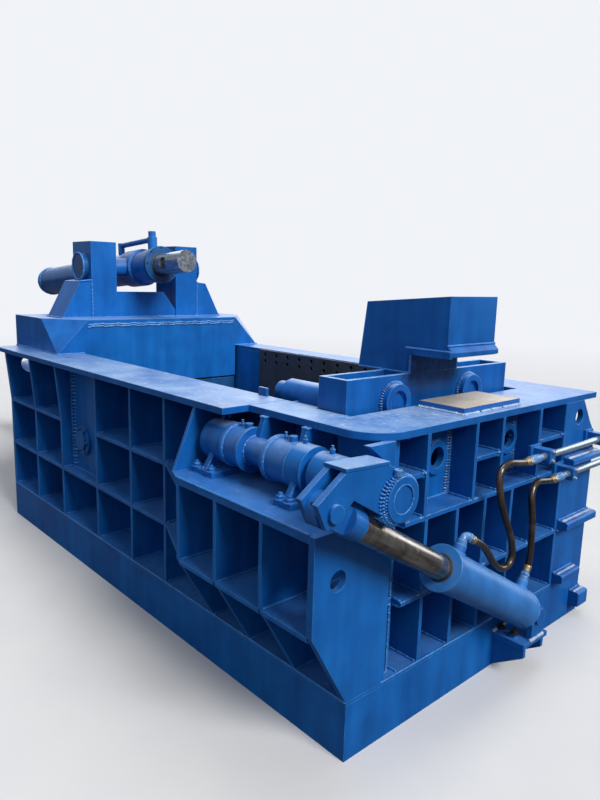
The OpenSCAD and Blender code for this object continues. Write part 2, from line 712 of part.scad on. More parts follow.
eye_t = cheek_b - cheek_a - cheek_t - 2;
port_a = gland_at + 70;
port_b = barrel_end - 72;
module turnout_barrel() at() color(blue) cyl_frame() difference() {
    union() {
        rod_y(gland_at + 16, barrel_end, 0, 0, turn_r);
        rod_y(gland_at, gland_at + 16, 0, 0, turn_r + 6);
        block([-28, barrel_end - 2, -42], [28, rod_len, 42]);
        rod_x(-28, 28, rod_len, 0, 42);
        rod_z(0, port_a, turn_r - 10, turn_r + 26, 22);
        rod_z(0, port_b, turn_r - 10, turn_r + 26, 22);
    }
    rod_y(gland_at + 56, barrel_end - 22, 0, 0, turn_r - turn_wall);
    rod_y(gland_at - 1, gland_at + 57, 0, 0, turn_rod_r + run_gap);
    rod_x(-29, 29, rod_len, 0, base_pin_r + run_gap);
}

module port(y, top) {
    rod_z(0, y, turn_r + 26, turn_r + 34, 15);
    hex_z(0, y, turn_r + 34, 38, 11);
    rod_z(0, y, turn_r + 45, top, 16);
}

module turnout_ports() at() color(blue) cyl_frame() {
    port(port_a, turn_r + 80);
    port(port_b, turn_r + 62);
    rod_y(port_a, port_a + 44, 0, turn_r + 62, 14);
}

module rod_body() difference() {
    union() {
        rod_y(146, gland_at + 150, 0, 0, turn_rod_r);
        rod_y(gland_at + 150, gland_at + 210, 0, 0, turn_r - turn_wall - gap);
        rod_y(88, 146, 0, 0, 46);
        block([-eye_t / 2, 0, -40], [eye_t / 2, 90, 40]);
        rod_x(-eye_t / 2, eye_t / 2, 0, 0, 50);
    }
    rod_x(-eye_t, eye_t, 0, 0, crank_pin_r);
}

module turnout_rod() at() {
    color(chrome) cyl_frame() rod_body();
    color(chrome) cyl_frame() rod_x(-eye_t / 2, eye_t / 2, 0, 0, crank_pin_r - run_gap);
}

module ear(x0, x1) difference() {
    union() {
        rod_x(x0, x1, base_y, base_z, ear_r);
        block([x0, base_y - ear_r, bracket_top], [x1, base_y + ear_r, base_z]);
    }
    rod_x(x0 - 1, x1 + 1, base_y, base_z, base_pin_r + run_gap);
}

module cylinder_bracket() at() color(blue) {
    for (y = [bracket_y0 + 5, bracket_y1 - 40])
        plate_y(y, rib_t, [[0, 5], [bracket_out - 2, 93], [bracket_out - 2, bracket_top - bracket_t],
            [0, bracket_top - bracket_t]]);
    block([0, bracket_y0, bracket_top - bracket_t], [bracket_out, bracket_y1, bracket_top]);
    ear(cyl_x - 52, cyl_x - 30);
    ear(cyl_x + 30, cyl_x + 52);
    for (x = [20, 78])
        hex_z(x, bracket_y0 + 32, bracket_top, 26, 14);
}

module base_pin() at() color(steel) {
    rod_x(cyl_x - 58, cyl_x + 58, base_y, base_z, base_pin_r);
    rod_x(cyl_x + 52 + gap, cyl_x + 64, base_y, base_z, base_pin_r + 8);
}

// Oil lines of the turn-out cylinder
pipe_r = 14;
line_x = 60;
line_a = [905, 862];
line_b = [1120, 752];
line_end = base_wid + 180;
module clamp(y0, y1, z) {
    block([0, y0, z - 34], [12, y1, z + 34]);
    block([12, y0 + 18, z - 26], [line_x - pipe_r - 4, y1 - 18, z + 26]);
    difference() {
        block([line_x - pipe_r - 4, y0 + 18, z - 26], [line_x + pipe_r + 10, y1 - 18, z + 26]);
        rod_y(y0, y1, line_x, z, pipe_r);
    }
}

module pipe_clamps() at() color(blue) {
    clamp(1010, 1090, line_a[1]);
    clamp(1225, 1300, line_b[1]);
    clamp(base_wid - 10, base_wid + 60, line_a[1]);
}

module line_fitting(y, z) {
    rod_y(y, y + 26, line_x, z, 13);
    translate([line_x, y + 26, z]) rotate([-90, 0, 0]) cylinder(h = 26, r = 21, $fn = 6);
    rod_y(y + 52, y + 78, line_x, z, 18);
}

module supply_pipes() at() color(steel)
    for (line = [line_a, line_b]) {
        line_fitting(line[0], line[1]);
        rod_y(line[0] + 78, line_end - (line == line_a ? 60 : 0), line_x, line[1], pipe_r);
    }

// Hoses: rings swept along hand-picked points
hose_r = 13;
hose_sides = 10;
route_rod_end = [
    [87, 500.4, 662.6], [87, 525, 648.2], [88, 558, 630], [89, 590, 606], [90, 622, 572], [91, 656, 532], [92, 700, 498],
    [92, 744, 488], [92, 775, 503], [91, 785, 540], [89, 768, 600], [85, 738, 660], [80, 716, 710], [74, 700, 762],
    [69, 694, 811], [64, 700, 848], [61, 725, 870], [60, 775, 877], [60, 835, 868], [60, 880, 862], [60, 904.7, 862]
];
route_base_end = [
    [87, 913.7, 420.8], [87, 924.7, 439.6], [88, 930, 470], [88, 931, 520], [87, 930, 575], [84, 930, 630], [77, 931, 680],
    [70, 936, 722], [64, 958, 752], [60, 995, 764], [60, 1045, 758], [60, 1094, 752], [60, 1119.7, 752]
];

// One ring of points round a route's point p, square to the direction d, kept level across X
function ring(p, d) =
    let (t = d / norm(d), s = [1, 0, 0] - t * t[0], u = s / norm(s), v = cross(t, u))
        [for (k = [0 : hose_sides - 1]) p + hose_r * (cos(k * 360 / hose_sides) * u + sin(k * 360 / hose_sides) * v)];

module hose(route) {
    n = len(route);
    rings = [for (i = [0 : n - 1]) each ring(route[i], route[min(i + 1, n - 1)] - route[max(i - 1, 0)])];
    sides = [for (i = [0 : n - 2], k = [0 : hose_sides - 1]) let (m = (k + 1) % hose_sides)
        [i * hose_sides + k, i * hose_sides + m, (i + 1) * hose_sides + m, (i + 1) * hose_sides + k]];
    ends = [[for (k = [hose_sides - 1 : -1 : 0]) k], [for (k = [0 : hose_sides - 1]) (n - 1) * hose_sides + k]];
    polyhedron(rings, [for (f = concat(sides, ends)) [for (j = [len(f) - 1 : -1 : 0]) f[j]]]);
}

module hose_rod_end() at() color(hose_black) hose(route_rod_end);

module hose_base_end() at() color(hose_black) hose(route_base_end);

// Main ram: the rod, the piston and the press plate under the pedestal
main_x1 = chamber_left - 10;
main_flange_x = -base_len + wall_t + 60;
main_wall = 24;
module main_barrel() at() color(blue) difference() {
    union() {
        rod_x(main_flange_x - main_len, main_flange_x, main_y, main_z, main_r);
        rod_x(-base_len + wall_t, -base_len + wall_t + 40, main_y, main_z, main_r + 50);
    }
    rod_x(main_flange_x - main_len + 40, main_flange_x - 70, main_y, main_z, main_r - main_wall);
    rod_x(main_flange_x - 80, main_flange_x + 1, main_y, main_z, main_rod_r + run_gap);
}

module main_ram() at() color(steel) {
    block([main_x1 - platen_t, chamber_y0 + slide_gap, floor_top + slide_gap],
        [main_x1, chamber_y1 - slide_gap, platen_top]);
    piston_x = main_flange_x - main_len + 50;
    rod_x(piston_x + 120, main_x1 - platen_t, main_y, main_z, main_rod_r);
    rod_x(piston_x, piston_x + 120, main_y, main_z, main_r - main_wall - gap);
}

// Side ram at the far end of the bale channel
module side_barrel() at() color(blue) difference() {
    union() {
        rod_y(side_plate_y + 24, side_plate_y + 720, side_mid, side_z, side_r);
        block([side_x0 - 110, side_plate_y, side_z - 150], [side_x1 + 90, side_plate_y + 24, side_z + 150]);
    }
    rod_y(side_plate_y + 90, side_plate_y + 700, side_mid, side_z, side_r - 16);
    rod_y(side_plate_y - 1, side_plate_y + 91, side_mid, side_z, 50 + run_gap);
}

module side_ram() at() color(steel) {
    block([side_x0 + slide_gap, chamber_y1 + 1, floor_top + slide_gap], [side_x1 - slide_gap, far_rib_y + 40, side_top]);
    rod_y(far_rib_y + 40, side_plate_y + 630, side_mid, side_z, 50);
    rod_y(side_plate_y + 630, side_plate_y + 690, side_mid, side_z, side_r - 16 - gap);
}

// End gate
guide_t = 33;
guide_ys = [chamber_y0 + 30, 740, chamber_y1 - 195];
guide_wid = 80;
gate_x1 = end_wall_x - guide_t;
gate_x0 = gate_x1 - gate_t;
gate_low = 620;
gate_wall = 20;
channel_low = gate_top - 90;
module gate_beam() at() color(blue) {
    difference() {
        block([gate_x0, gate_y0, gate_low], [gate_x1, gate_y1, gate_top]);
        block([gate_x0 + gate_wall, gate_y0 + gate_wall, channel_low], [gate_x1 - gate_wall, gate_y1 - gate_wall, gate_top + 1]);
    }
    for (y = boss_ys) difference() {
        rod_x(gate_x1, gate_x1 + 30, y, boss_z, 70);
        rod_x(gate_x1 + 14, gate_x1 + 31, y, boss_z, 46);
    }
}

head_y0 = 600;
head_y1 = 905;
head_top = 1477;
jaw_reach = 188;
module gate_head() at() color(blue) {
    plate_y(head_y0, head_y1 - head_y0, [[gate_x0 + gate_wall + 1, channel_low], [gate_x1 - gate_wall - 1, channel_low],
        [gate_x1 - gate_wall - 1, gate_top + gap], [gate_x1, gate_top + gap], [gate_x1, jaw_z], [gate_x1 + jaw_reach - 20, jaw_z],
        [gate_x1 + jaw_reach, jaw_z + 6], [gate_x1 + jaw_reach, jaw_z + 22], [gate_x1 + jaw_reach - 21, jaw_z + 44],
        [gate_x1 + jaw_reach - 21, head_top], [gate_x0 - 88, head_top - 33], [gate_x0 - 122, gate_top + gap], [gate_x0 + gate_wall + 1, gate_top + gap]]);
    block([gate_x1 - 12, head_y0 - 12, jaw_z], [gate_x1 + jaw_reach, head_y0, jaw_z + 24]);
}

module gate_guides() at() color(steel)
    for (y = guide_ys)
        block([end_wall_x - guide_t + gap, y, floor_top], [end_wall_x, y + guide_wid, flange_low - 6]);

skid();
deck_plate();
floor_beams();
floor_liner();
front_wall_plate();
front_liner();
front_ribs();
front_shelves();
round_cover();
bay_ribs();
bay_platform();
near_corner_plate();
end_wall_plate();
end_ribs();
end_shelves();
ring_collars();
far_corner_plates();
end_ledges();
far_wall_plate();
far_ribs();
far_liner();
left_end_plate();
top_flange_front();
top_flange_end();
top_flange_far();
landing_pad();
gate_guides();
pedestal();
tower_near();
tower_far();
saddle_plate();
trunnion_caps();
bearing_left();
bearing_right();
foot_bolts();
cylinder_bracket();
base_pin();
pipe_clamps();
supply_pipes();
hose_rod_end();
hose_base_end();
main_barrel();
main_ram();
side_barrel();
side_ram();
lid_barrel();
lid_gland();
lid_port_pipe();
lid_rod();
turnout_shaft();
crank_hub();
crank_fork();
crank_pin_caps();
tray_hubs();
tray();
turnout_barrel();
turnout_ports();
turnout_rod();
gate_beam();
gate_head();
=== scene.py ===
import json
import math

import bpy
from mathutils import Matrix, Vector


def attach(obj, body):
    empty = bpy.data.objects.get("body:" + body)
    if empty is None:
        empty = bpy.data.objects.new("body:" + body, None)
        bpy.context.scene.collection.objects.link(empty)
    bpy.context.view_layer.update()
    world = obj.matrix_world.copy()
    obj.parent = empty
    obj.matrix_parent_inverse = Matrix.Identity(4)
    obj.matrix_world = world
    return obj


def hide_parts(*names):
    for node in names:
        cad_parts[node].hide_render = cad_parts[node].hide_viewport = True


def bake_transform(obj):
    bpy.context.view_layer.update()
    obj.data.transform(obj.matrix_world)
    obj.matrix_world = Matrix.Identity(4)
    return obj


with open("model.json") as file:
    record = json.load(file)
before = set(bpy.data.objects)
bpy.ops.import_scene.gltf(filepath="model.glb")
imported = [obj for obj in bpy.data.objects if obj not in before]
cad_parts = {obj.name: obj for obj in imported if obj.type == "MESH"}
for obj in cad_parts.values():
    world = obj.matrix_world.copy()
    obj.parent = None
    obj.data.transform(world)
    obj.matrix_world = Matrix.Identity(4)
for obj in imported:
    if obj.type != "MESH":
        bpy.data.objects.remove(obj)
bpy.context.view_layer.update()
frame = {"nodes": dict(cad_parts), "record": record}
print("frame loaded with", len(frame["nodes"]), "nodes")


def spot(x, y, z):
    # drawing millimetres from the skid's right-hand front corner, turned into metres
    return Vector(((x + 1460) / 1000, (y - 750) / 1000, z / 1000))


# places in drawing millimetres: the line that the crank and tray turn on, the lid cylinder from its trunnion,
# and the turn-out cylinder from the crank pin to its base pin
shaft = {"y": 48, "z": 912}
lid = {"x": -2750, "y": 800, "z": 1568, "tilt": math.radians(4.4)}
lid["way"] = (math.cos(lid["tilt"]), 0, math.sin(lid["tilt"]))
ram = {"pin": Vector((87, -214, 924)), "run": Vector((0, 1160, -680)), "gland": 634}
ram["way"] = ram["run"].normalized()
ram["out"] = Vector((0, -ram["way"].z, ram["way"].y))
ram["end"] = ram["run"].length - 46
ram["ports"] = (ram["gland"] + 70, ram["end"] - 72)

# camera fitted to the photograph
shot = {"place": (2.729, -2.138, 1.520), "yaw": 137.63, "down": 10.317, "roll": 1.569, "lens": 29.64}


def addCamera(values):
    yaw = math.radians(values["yaw"])
    down = math.radians(values["down"])
    roll = math.radians(values["roll"])
    ahead = Vector((math.cos(yaw) * math.cos(down), math.sin(yaw) * math.cos(down), -math.sin(down)))
    right = Vector((math.sin(yaw), -math.cos(yaw), 0))
    up = right.cross(ahead)
    rightRolled = right * math.cos(roll) + up * math.sin(roll)
    upRolled = up * math.cos(roll) - right * math.sin(roll)
    data = bpy.data.cameras.new("photoCamera")
    data.lens = values["lens"]
    data.sensor_width = 36
    camera = bpy.data.objects.new("photoCamera", data)
    turn = Matrix((rightRolled, upRolled, -ahead)).transposed().to_4x4()
    camera.matrix_world = Matrix.Translation(Vector(values["place"])) @ turn
    bpy.context.scene.collection.objects.link(camera)
    bpy.context.scene.camera = camera


addCamera(shot)


class Wire:
    # a socket in a node tree that can be used in sums
    def __init__(self, tree, socket=None):
        self.tree = tree
        self.socket = socket

    def make(self, kind, settings, sockets, output=0):
        node = self.tree.nodes.new(kind)
        for name, value in settings.items():
            setattr(node, name, value)
        for key, value in sockets.items():
            for one in value if isinstance(value, list) else [value]:
                if isinstance(one, Wire):
                    self.tree.links.new(one.socket, node.inputs[key])
                else:
                    node.inputs[key].default_value = one
        return Wire(self.tree, node.outputs[output] if len(node.outputs) else None)

    def sums(self, operation, first, second):
        return self.make("ShaderNodeMath", {"operation": operation}, {0: first, 1: second})

    def __add__(self, other):
        return self.sums("ADD", self, other)

    def __radd__(self, other):
        return self.sums("ADD", other, self)

    def __sub__(self, other):
        return self.sums("SUBTRACT", self, other)

    def __rsub__(self, other):
        return self.sums("SUBTRACT", other, self)

    def __mul__(self, other):
        return self.sums("MULTIPLY", self, other)

    def __rmul__(self, other):
        return self.sums("MULTIPLY", other, self)

    def between(self, low, high):
        # 0 below low, 1 above high
        return self.make("ShaderNodeMapRange", {"clamp": True}, {0: self, 1: low, 2: high, 3: 0.0, 4: 1.0})

    def also(self, output):
        # another output of the same node
        return Wire(self.tree, self.socket.node.outputs[output])


def mixColour(factor, first, second):
    return factor.make("ShaderNodeMix", {"data_type": "RGBA"}, {0: factor, 6: first, 7: second}, 2)


def axisOf(vector, axis):
    return vector.make("ShaderNodeSeparateXYZ", {}, {0: vector}, axis)


def dot(first, second):
    return first.make("ShaderNodeVectorMath", {"operation": "DOT_PRODUCT"}, {0: first, 1: second}, "Value")


def bumped(height, strength, distance, normal=None):
    sockets = {"Strength": strength, "Distance": distance, "Height": height}
    if normal:
        sockets["Normal"] = normal
    return height.make("ShaderNodeBump", {}, sockets)


def noise(place, scale, detail=2.0, stretch=None):
    if stretch:
        place = place.make("ShaderNodeMapping", {}, {"Vector": place, "Scale": stretch})
    return place.make("ShaderNodeTexNoise", {}, {"Vector": place, "Scale": scale, "Detail": detail})


def startMaterial(name):
    material = bpy.data.materials.new(name)
    material.use_nodes = True
    material.node_tree.nodes.clear()
    start = Wire(material.node_tree)
    return material, start, start.make("ShaderNodeTexCoord", {}, {}, "Object")


def endMaterial(start, values):
    surface = start.make("ShaderNodeBsdfPrincipled", {}, values, "BSDF")
    start.make("ShaderNodeOutputMaterial", {}, {"Surface": surface})


def edgeWearAndSheen(start, radius, low, high):
    # rounded corner normal, and how far it leaves the flat one
    rounded = start.make("ShaderNodeBevel", {"samples": 4}, {"Radius": radius})
    flat = start.make("ShaderNodeNewGeometry", {}, {}, "Normal")
    return rounded, (1 - dot(rounded, flat)).between(low, high)


# sprayed blue enamel over welded plate
enamelLook = {
    # the "dust" colour stands for real dust and for painted sheen of window light on lit tops
    "deep": (0.004, 0.070, 0.290, 1), "light": (0.009, 0.150, 0.520, 1), "dust": (0.330, 0.480, 0.690, 1),
    # "worn" lightens edges: partly worn paint, partly a painted edge highlight
    "worn": (0.060, 0.290, 0.720, 1), "bare": (0.420, 0.520, 0.660, 1), "dirt": (0.003, 0.024, 0.085, 1),
    "roughness": 0.27, "dustAndSheen": 0.80, "scuffed": 0.80, "specular": 0.24, "grime": 0.40,
    # metres above which a flat top takes its full dust, scuffs and painted sheen, and how level it must be
    "flangeLow": 0.93, "level": (0.80, 0.98),
}


def enamel(name, values):
    material, start, place = startMaterial(name)
    facing = axisOf(place.also("Normal"), "Z")
    height = axisOf(place, "Z")
    broad = noise(place, 1.3, 2.0)
    patches = noise(place, 9.0, 4.0)
    runs = noise(place, 5.0, 3.0, (3.0, 3.0, 0.35))
    strokes = noise(place, 26.0, 3.0, (1.0, 1.0, 0.18))
    peel = noise(place, 300.0, 1.0)
    tone = (broad - 0.5) + (patches - 0.5) * 0.6 + (runs - 0.5) * 0.9 + 0.5
    colour = mixColour(tone.between(0.12, 0.88), values["deep"], values["light"])
    # edges turn the lighter "worn" blue: partly wear, partly a painted edge highlight
    rounded, wornAndLitEdge = edgeWearAndSheen(start, 0.0042, 0.01, 0.16)
    colour = mixColour(wornAndLitEdge * noise(place, 16.0, 3.0).between(0.24, 0.56), colour, values["worn"])
    along = axisOf(place, "X")
    # level tops, most of all those above flangeLow, take the pale "dust" colour: partly dust, partly painted
    # sheen on the gloss
    level = facing.between(*values["level"])
    dustedLitTops = level * (0.16 + height.between(values["flangeLow"], values["flangeLow"] + 0.02) * 0.84)
    # stronger towards the right-hand end: more dust and more painted sheen there
    dustedLitTops = dustedLitTops * (0.72 + along.between(-0.9, 0.4) * 0.28)
    film = noise(place, 1.7, 4.0) * 0.45 + noise(place, 7.0, 4.0) * 0.35 + noise(place, 46.0, 3.0) * 0.2
    dust = dustedLitTops * film.between(0.30, 0.64) * values["dustAndSheen"]
    colour = mixColour(dust, colour, values["dust"])
    straight = noise(place, 9.0, 3.0, (1.0, 14.0, 14.0)).between(0.62, 0.67)
    askew = noise(place, 8.0, 3.0, (11.0, 2.0, 11.0)).between(0.64, 0.68)
    scratched = (straight + askew) * noise(place, 3.0, 2.0).between(0.44, 0.56)
    chips = noise(place, 42.0, 5.0).between(0.655, 0.70)
    scuff = dustedLitTops * (scratched + chips).between(0.0, 1.0) * values["scuffed"]
    colour = mixColour(scuff, colour, values["bare"])
    grime = noise(place, 2.6, 6.0).between(0.54, 0.76) * (1 - level * 0.7) * values["grime"]
    colour = mixColour(grime, colour, values["dirt"])
    if "sootAndShade" in values:
        # rough dark spray and painted shade of the jaw's lip, inside a box of drawing points
        low, high, strength = values["sootAndShade"]
        sootAndShade = noise(place, 38.0, 5.0).between(0.22, 0.60) * strength
        for axis in range(3):
            run = axisOf(place, axis)
            sootAndShade = sootAndShade * run.between(low[axis] - 0.03, low[axis] + 0.01)
            sootAndShade = sootAndShade * (1 - run.between(high[axis] - 0.01, high[axis] + 0.03))
        colour = mixColour(sootAndShade, colour, (0.004, 0.010, 0.026, 1))
    roughness = values["roughness"] + patches * 0.12 + dust * 0.22 + scuff * 0.2 + grime * 0.2
    relief = peel * 0.08 + strokes * 0.5 + patches * 0.4 - scuff * 0.3
    endMaterial(start, {
        "Base Color": colour, "Roughness": roughness, "Normal": bumped(relief, 0.30, 0.0015, rounded),
        "Specular IOR Level": values["specular"]})
    return material


# bare plate: wear liner, machined steel, rusty pad, oil lines, hose sleeves and plated nuts
plateLooks = {
    "linerSteel": {
        "deep": (0.022, 0.026, 0.034, 1), "light": (0.085, 0.092, 0.105, 1),
        "stain": (0.012, 0.045, 0.130, 1),
        "stained": 0.55, "roughness": 0.42, "metallic": 0.55, "stretch": (1.0, 12.0, 9.0)},
    "bareSteel": {
        "deep": (0.20, 0.21, 0.22, 1), "light": (0.42, 0.43, 0.44, 1), "stain": (0.16, 0.13, 0.10, 1),
        "stained": 0.35, "roughness": 0.32, "metallic": 0.85, "stretch": (1.0, 9.0, 9.0)},
    "padSteel": {
        "deep": (0.27, 0.22, 0.16, 1), "light": (0.60, 0.59, 0.55, 1), "stain": (0.26, 0.15, 0.07, 1),
        "stained": 0.85, "roughness": 0.42, "metallic": 0.30, "stretch": (12.0, 1.0, 1.0),
        "sides": (0.006, 0.110, 0.400, 1)},
    "pipeSteel": {
        "deep": (0.34, 0.46, 0.58, 1), "light": (0.52, 0.64, 0.74, 1), "stain": (0.14, 0.28, 0.46, 1),
        "stained": 0.25, "roughness": 0.17, "metallic": 0.85, "stretch": (9.0, 1.0, 9.0)},
    "brass": {
        "deep": (0.30, 0.21, 0.10, 1), "light": (0.66, 0.54, 0.32, 1), "stain": (0.12, 0.10, 0.09, 1),
        "stained": 0.55, "roughness": 0.28, "metallic": 0.85, "stretch": (1.0, 1.0, 1.0)},
    "zinc": {
        "deep": (0.22, 0.24, 0.27, 1), "light": (0.48, 0.50, 0.53, 1), "stain": (0.05, 0.11, 0.24, 1),
        "stained": 0.6, "roughness": 0.36, "metallic": 0.8, "stretch": (1.0, 1.0, 1.0)},
}


def plate(name, values):
    material, start, place = startMaterial(name)
    grain = noise(place, 14.0, 5.0, values["stretch"])
    blotch = noise(place, 5.0, 5.0)
    fine = noise(place, 120.0, 3.0)
    scratch = noise(place, 40.0, 2.0, values["stretch"]).between(0.60, 0.68)
    # edges and scratches turn lighter: partly wear, partly a painted edge highlight
    rounded, wornAndLitEdge = edgeWearAndSheen(start, 0.003, 0.05, 0.35)
    tone = (grain * 0.6 + blotch * 0.5 + fine * 0.3 - 0.2).between(0.15, 0.85)
    colour = mixColour(tone, values["deep"], values["light"])
    stain = (blotch * 0.7 + fine * 0.3).between(0.46, 0.66) * values["stained"]
    colour = mixColour(stain, colour, values["stain"])
    colour = mixColour((scratch * 0.35 + wornAndLitEdge * 0.5).between(0.0, 1.0), colour, values["light"])
    bump = bumped(grain * 0.5 + fine * 0.3 - scratch * 0.4, 0.35, 0.0012, rounded)
    metallic = values["metallic"] - stain * values["metallic"] * 0.7
    if "sides" in values:
        # only the top is bare
        facing = axisOf(place.also("Normal"), "Z")
        top = (facing + (noise(place, 30.0, 3.0) - 0.5) * 0.2).between(0.6, 0.8)
        colour = mixColour(top, values["sides"], colour)
        metallic = metallic * top
    endMaterial(start, {
        "Base Color": colour, "Roughness": values["roughness"] + stain * 0.3 + grain * 0.1, "Normal": bump,
        "Metallic": metallic,
    })
    return material


# plated piston rods with a film of oil; an eye keeps its blue paint as far as "painted" metres along the rod
rodLooks = {
    "turnoutRodFinish": {
        "foot": spot(*ram["pin"]), "way": ram["way"], "painted": 0.150,
        "bright": (0.46, 0.43, 0.39, 1), "film": (0.130, 0.100, 0.076, 1), "metallic": 0.95},
    "lidRodFinish": {
        "foot": spot(lid["x"], lid["y"], lid["z"]), "way": Vector(lid["way"]), "painted": -2.0,
        "bright": (0.42, 0.47, 0.54, 1), "film": (0.110, 0.125, 0.155, 1), "metallic": 0.75},
}


def rodFinish(name, values):
    material, start, place = startMaterial(name)
    foot = values["foot"]
    way = values["way"]
    side = Vector((0, 1, 0)).cross(way) if way.y < 0.5 else Vector((1, 0, 0))
    other = way.cross(side)
    parts = [dot(place, v) - foot.dot(v) for v in (way, side, other)]
    drawn = start.make("ShaderNodeCombineXYZ", {}, {0: parts[0] * 0.08, 1: parts[1], 2: parts[2]})
    spun = start.make("ShaderNodeCombineXYZ", {}, {0: parts[0], 1: parts[1] * 0.1, 2: parts[2] * 0.1})
    streaks = noise(drawn, 60.0, 3.0)
    bands = noise(spun, 30.0, 4.0)
    spots = noise(place, 34.0, 3.0).between(0.64, 0.74)
    colour = mixColour((streaks * 0.65 + bands * 0.35).between(0.36, 0.64), values["film"], values["bright"])
    colour = mixColour(spots * 0.6, colour, (0.03, 0.025, 0.02, 1))
    ragged = parts[0] + (noise(place, 60.0, 2.0) - 0.5) * 0.006
    paint = 1 - ragged.between(values["painted"] - 0.002, values["painted"] + 0.002)
    tint = mixColour(noise(place, 9.0, 4.0).between(0.2, 0.8), enamelLook["deep"], enamelLook["light"])
    colour = mixColour(paint, colour, tint)
    bump = bumped(streaks + paint * 0.8, 0.12, 0.0006)
    endMaterial(start, {
        "Base Color": colour, "Metallic": (values["metallic"] - spots * 0.5) * (1 - paint),
        "Roughness": 0.19 + bands * 0.12 + spots * 0.2 + paint * 0.14, "Normal": bump,
    })
    return material


# wrapped rubber hose, and the dark rubber of wiper rings
hoseLook = {
    "deep": (0.006, 0.004, 0.003, 1), "light": (0.034, 0.019, 0.011, 1), "dust": (0.130, 0.088, 0.056, 1)}


def hoseRubber(name, values):
    material, start, place = startMaterial(name)
    along = place.make("ShaderNodeUVMap", {"uv_map": "hose"}, {}, "UV")
    wrap = place.make("ShaderNodeTexWave", {"wave_type": "BANDS", "bands_direction": "DIAGONAL"},
                      {"Vector": along, "Scale": 1.0, "Distortion": 0.6, "Detail": 2.0}, "Fac")
    worn = noise(place, 30.0, 4.0)
    colour = mixColour((worn * 0.8 + wrap * 0.25).between(0.3, 0.8), values["deep"], values["light"])
    colour = mixColour(noise(place, 11.0, 4.0).between(0.54, 0.72) * 0.45, colour, values["dust"])
    bump = bumped(wrap, 0.30, 0.0006)
    endMaterial(start, {
        "Base Color": colour, "Roughness": 0.16 + worn * 0.14, "Normal": bump, "Specular IOR Level": 0.7})
    return material


def plainRubber(name, colour):
    material, start, place = startMaterial(name)
    worn = noise(place, 60.0, 3.0)
    tint = mixColour(worn.between(0.3, 0.7), colour, (colour[0] * 2.2, colour[1] * 2.2, colour[2] * 2.2, 1))
    endMaterial(start, {"Base Color": tint, "Roughness": 0.5 + worn * 0.2})
    return material


# the enamel's other finishes, as changes to its look
enamelChanges = {
    "shadedEnamel": dict(deep=(0.006, 0.046, 0.150, 1), light=(0.016, 0.095, 0.270, 1), dustAndSheen=0.3),
    "weldEnamel": dict(deep=(0.008, 0.100, 0.380, 1), light=(0.030, 0.220, 0.640, 1),
                       dustAndSheen=0.3, scuffed=0.2, roughness=0.24, specular=0.5, grime=0.2),
    "freshWeld": dict(deep=(0.170, 0.320, 0.560, 1), light=(0.600, 0.670, 0.740, 1),
                      dustAndSheen=0.5, scuffed=0.8, roughness=0.30, specular=0.6, grime=0.3),
    # paler, glossier blue for fittings and some welds: its own paler paint, partly a painted highlight as
    # well
    "fittingAndSheenEnamel": dict(deep=(0.020, 0.110, 0.350, 1), light=(0.120, 0.290, 0.600, 1),
                          dustAndSheen=0.6, scuffed=0.6, roughness=0.20, specular=0.6, grime=0.3),
    # dark box under the jaw's lip: dark overspray and painted shade of the lip
    "sootAndShadeEnamel": dict(sootAndShade=(spot(-292, 560, 1150), spot(-280, 930, 1262), 0.92)),
}
# round pieces whose backs take a pale film, partly dust and partly a painted highlight; the barrel's lighter
# paint is partly painted light too
dustAndSheenBacks = {
    "turnout_barrel": dict(deep=(0.010, 0.092, 0.330, 1), light=(0.034, 0.215, 0.600, 1), dustAndSheen=0.30,
                           dust=(0.16, 0.38, 0.74, 1), level=(0.30, 0.98), flangeLow=0.2, scuffed=0.3,
                           specular=0.5, roughness=0.25),
    "tray_hubs": dict(level=(0.0, 0.9), flangeLow=0.80, dustAndSheen=0.55, scuffed=0.08, specular=0.4,
                      dust=(0.16, 0.28, 0.50, 1)),
    "lid_barrel": dict(level=(-0.1, 0.85), dustAndSheen=0.75, dust=(0.150, 0.180, 0.240, 1), specular=0.4),
}


def enamelWith(name, changes):
    return enamel(name, dict(enamelLook, **changes))


blue = enamel("blueEnamel", enamelLook)
enamels = {name: enamelWith(name, changes) for name, changes in enamelChanges.items()}
bead = enamels["weldEnamel"]
brightBead = enamels["freshWeld"]
fittingAndSheen = enamels["fittingAndSheenEnamel"]
sootAndShadeFinish = enamels["sootAndShadeEnamel"]
bare = {name: plate(name, values) for name, values in plateLooks.items()}
rods = {name: rodFinish(name, values) for name, values in rodLooks.items()}
hose = hoseRubber("wrappedHose", hoseLook)
rubber = plainRubber("sealRubber", (0.010, 0.010, 0.011, 1))
# black for bolts and screws, and the painted shade of the eye's grease hole
bolthole = plainRubber("blackAndHoleShade", (0.006, 0.006, 0.007, 1))
print("materials made")

finishes = {
    "blue_paint": blue, "dark_paint": enamels["shadedEnamel"], "bare_steel": bare["bareSteel"],
    "liner_steel": bare["linerSteel"], "rusty_steel": bare["padSteel"],
    "polished_rod": rods["turnoutRodFinish"], "hose_rubber": hose,
}
for part in frame["record"]["subparts"]:
    for holder in frame["nodes"][part["node"]].material_slots:
        holder.material = finishes[part["material_slot"]]
for node, finish in (("lid_rod", rods["lidRodFinish"]), ("gate_head", sootAndShadeFinish), ("gate_beam", sootAndShadeFinish)):
    for holder in frame["nodes"][node].material_slots:
        holder.material = finish
for node, changes in dustAndSheenBacks.items():
    finish = enamelWith(node + "Enamel", changes)
    for holder in frame["nodes"][node].material_slots:
        holder.material = finish
print("solids painted")


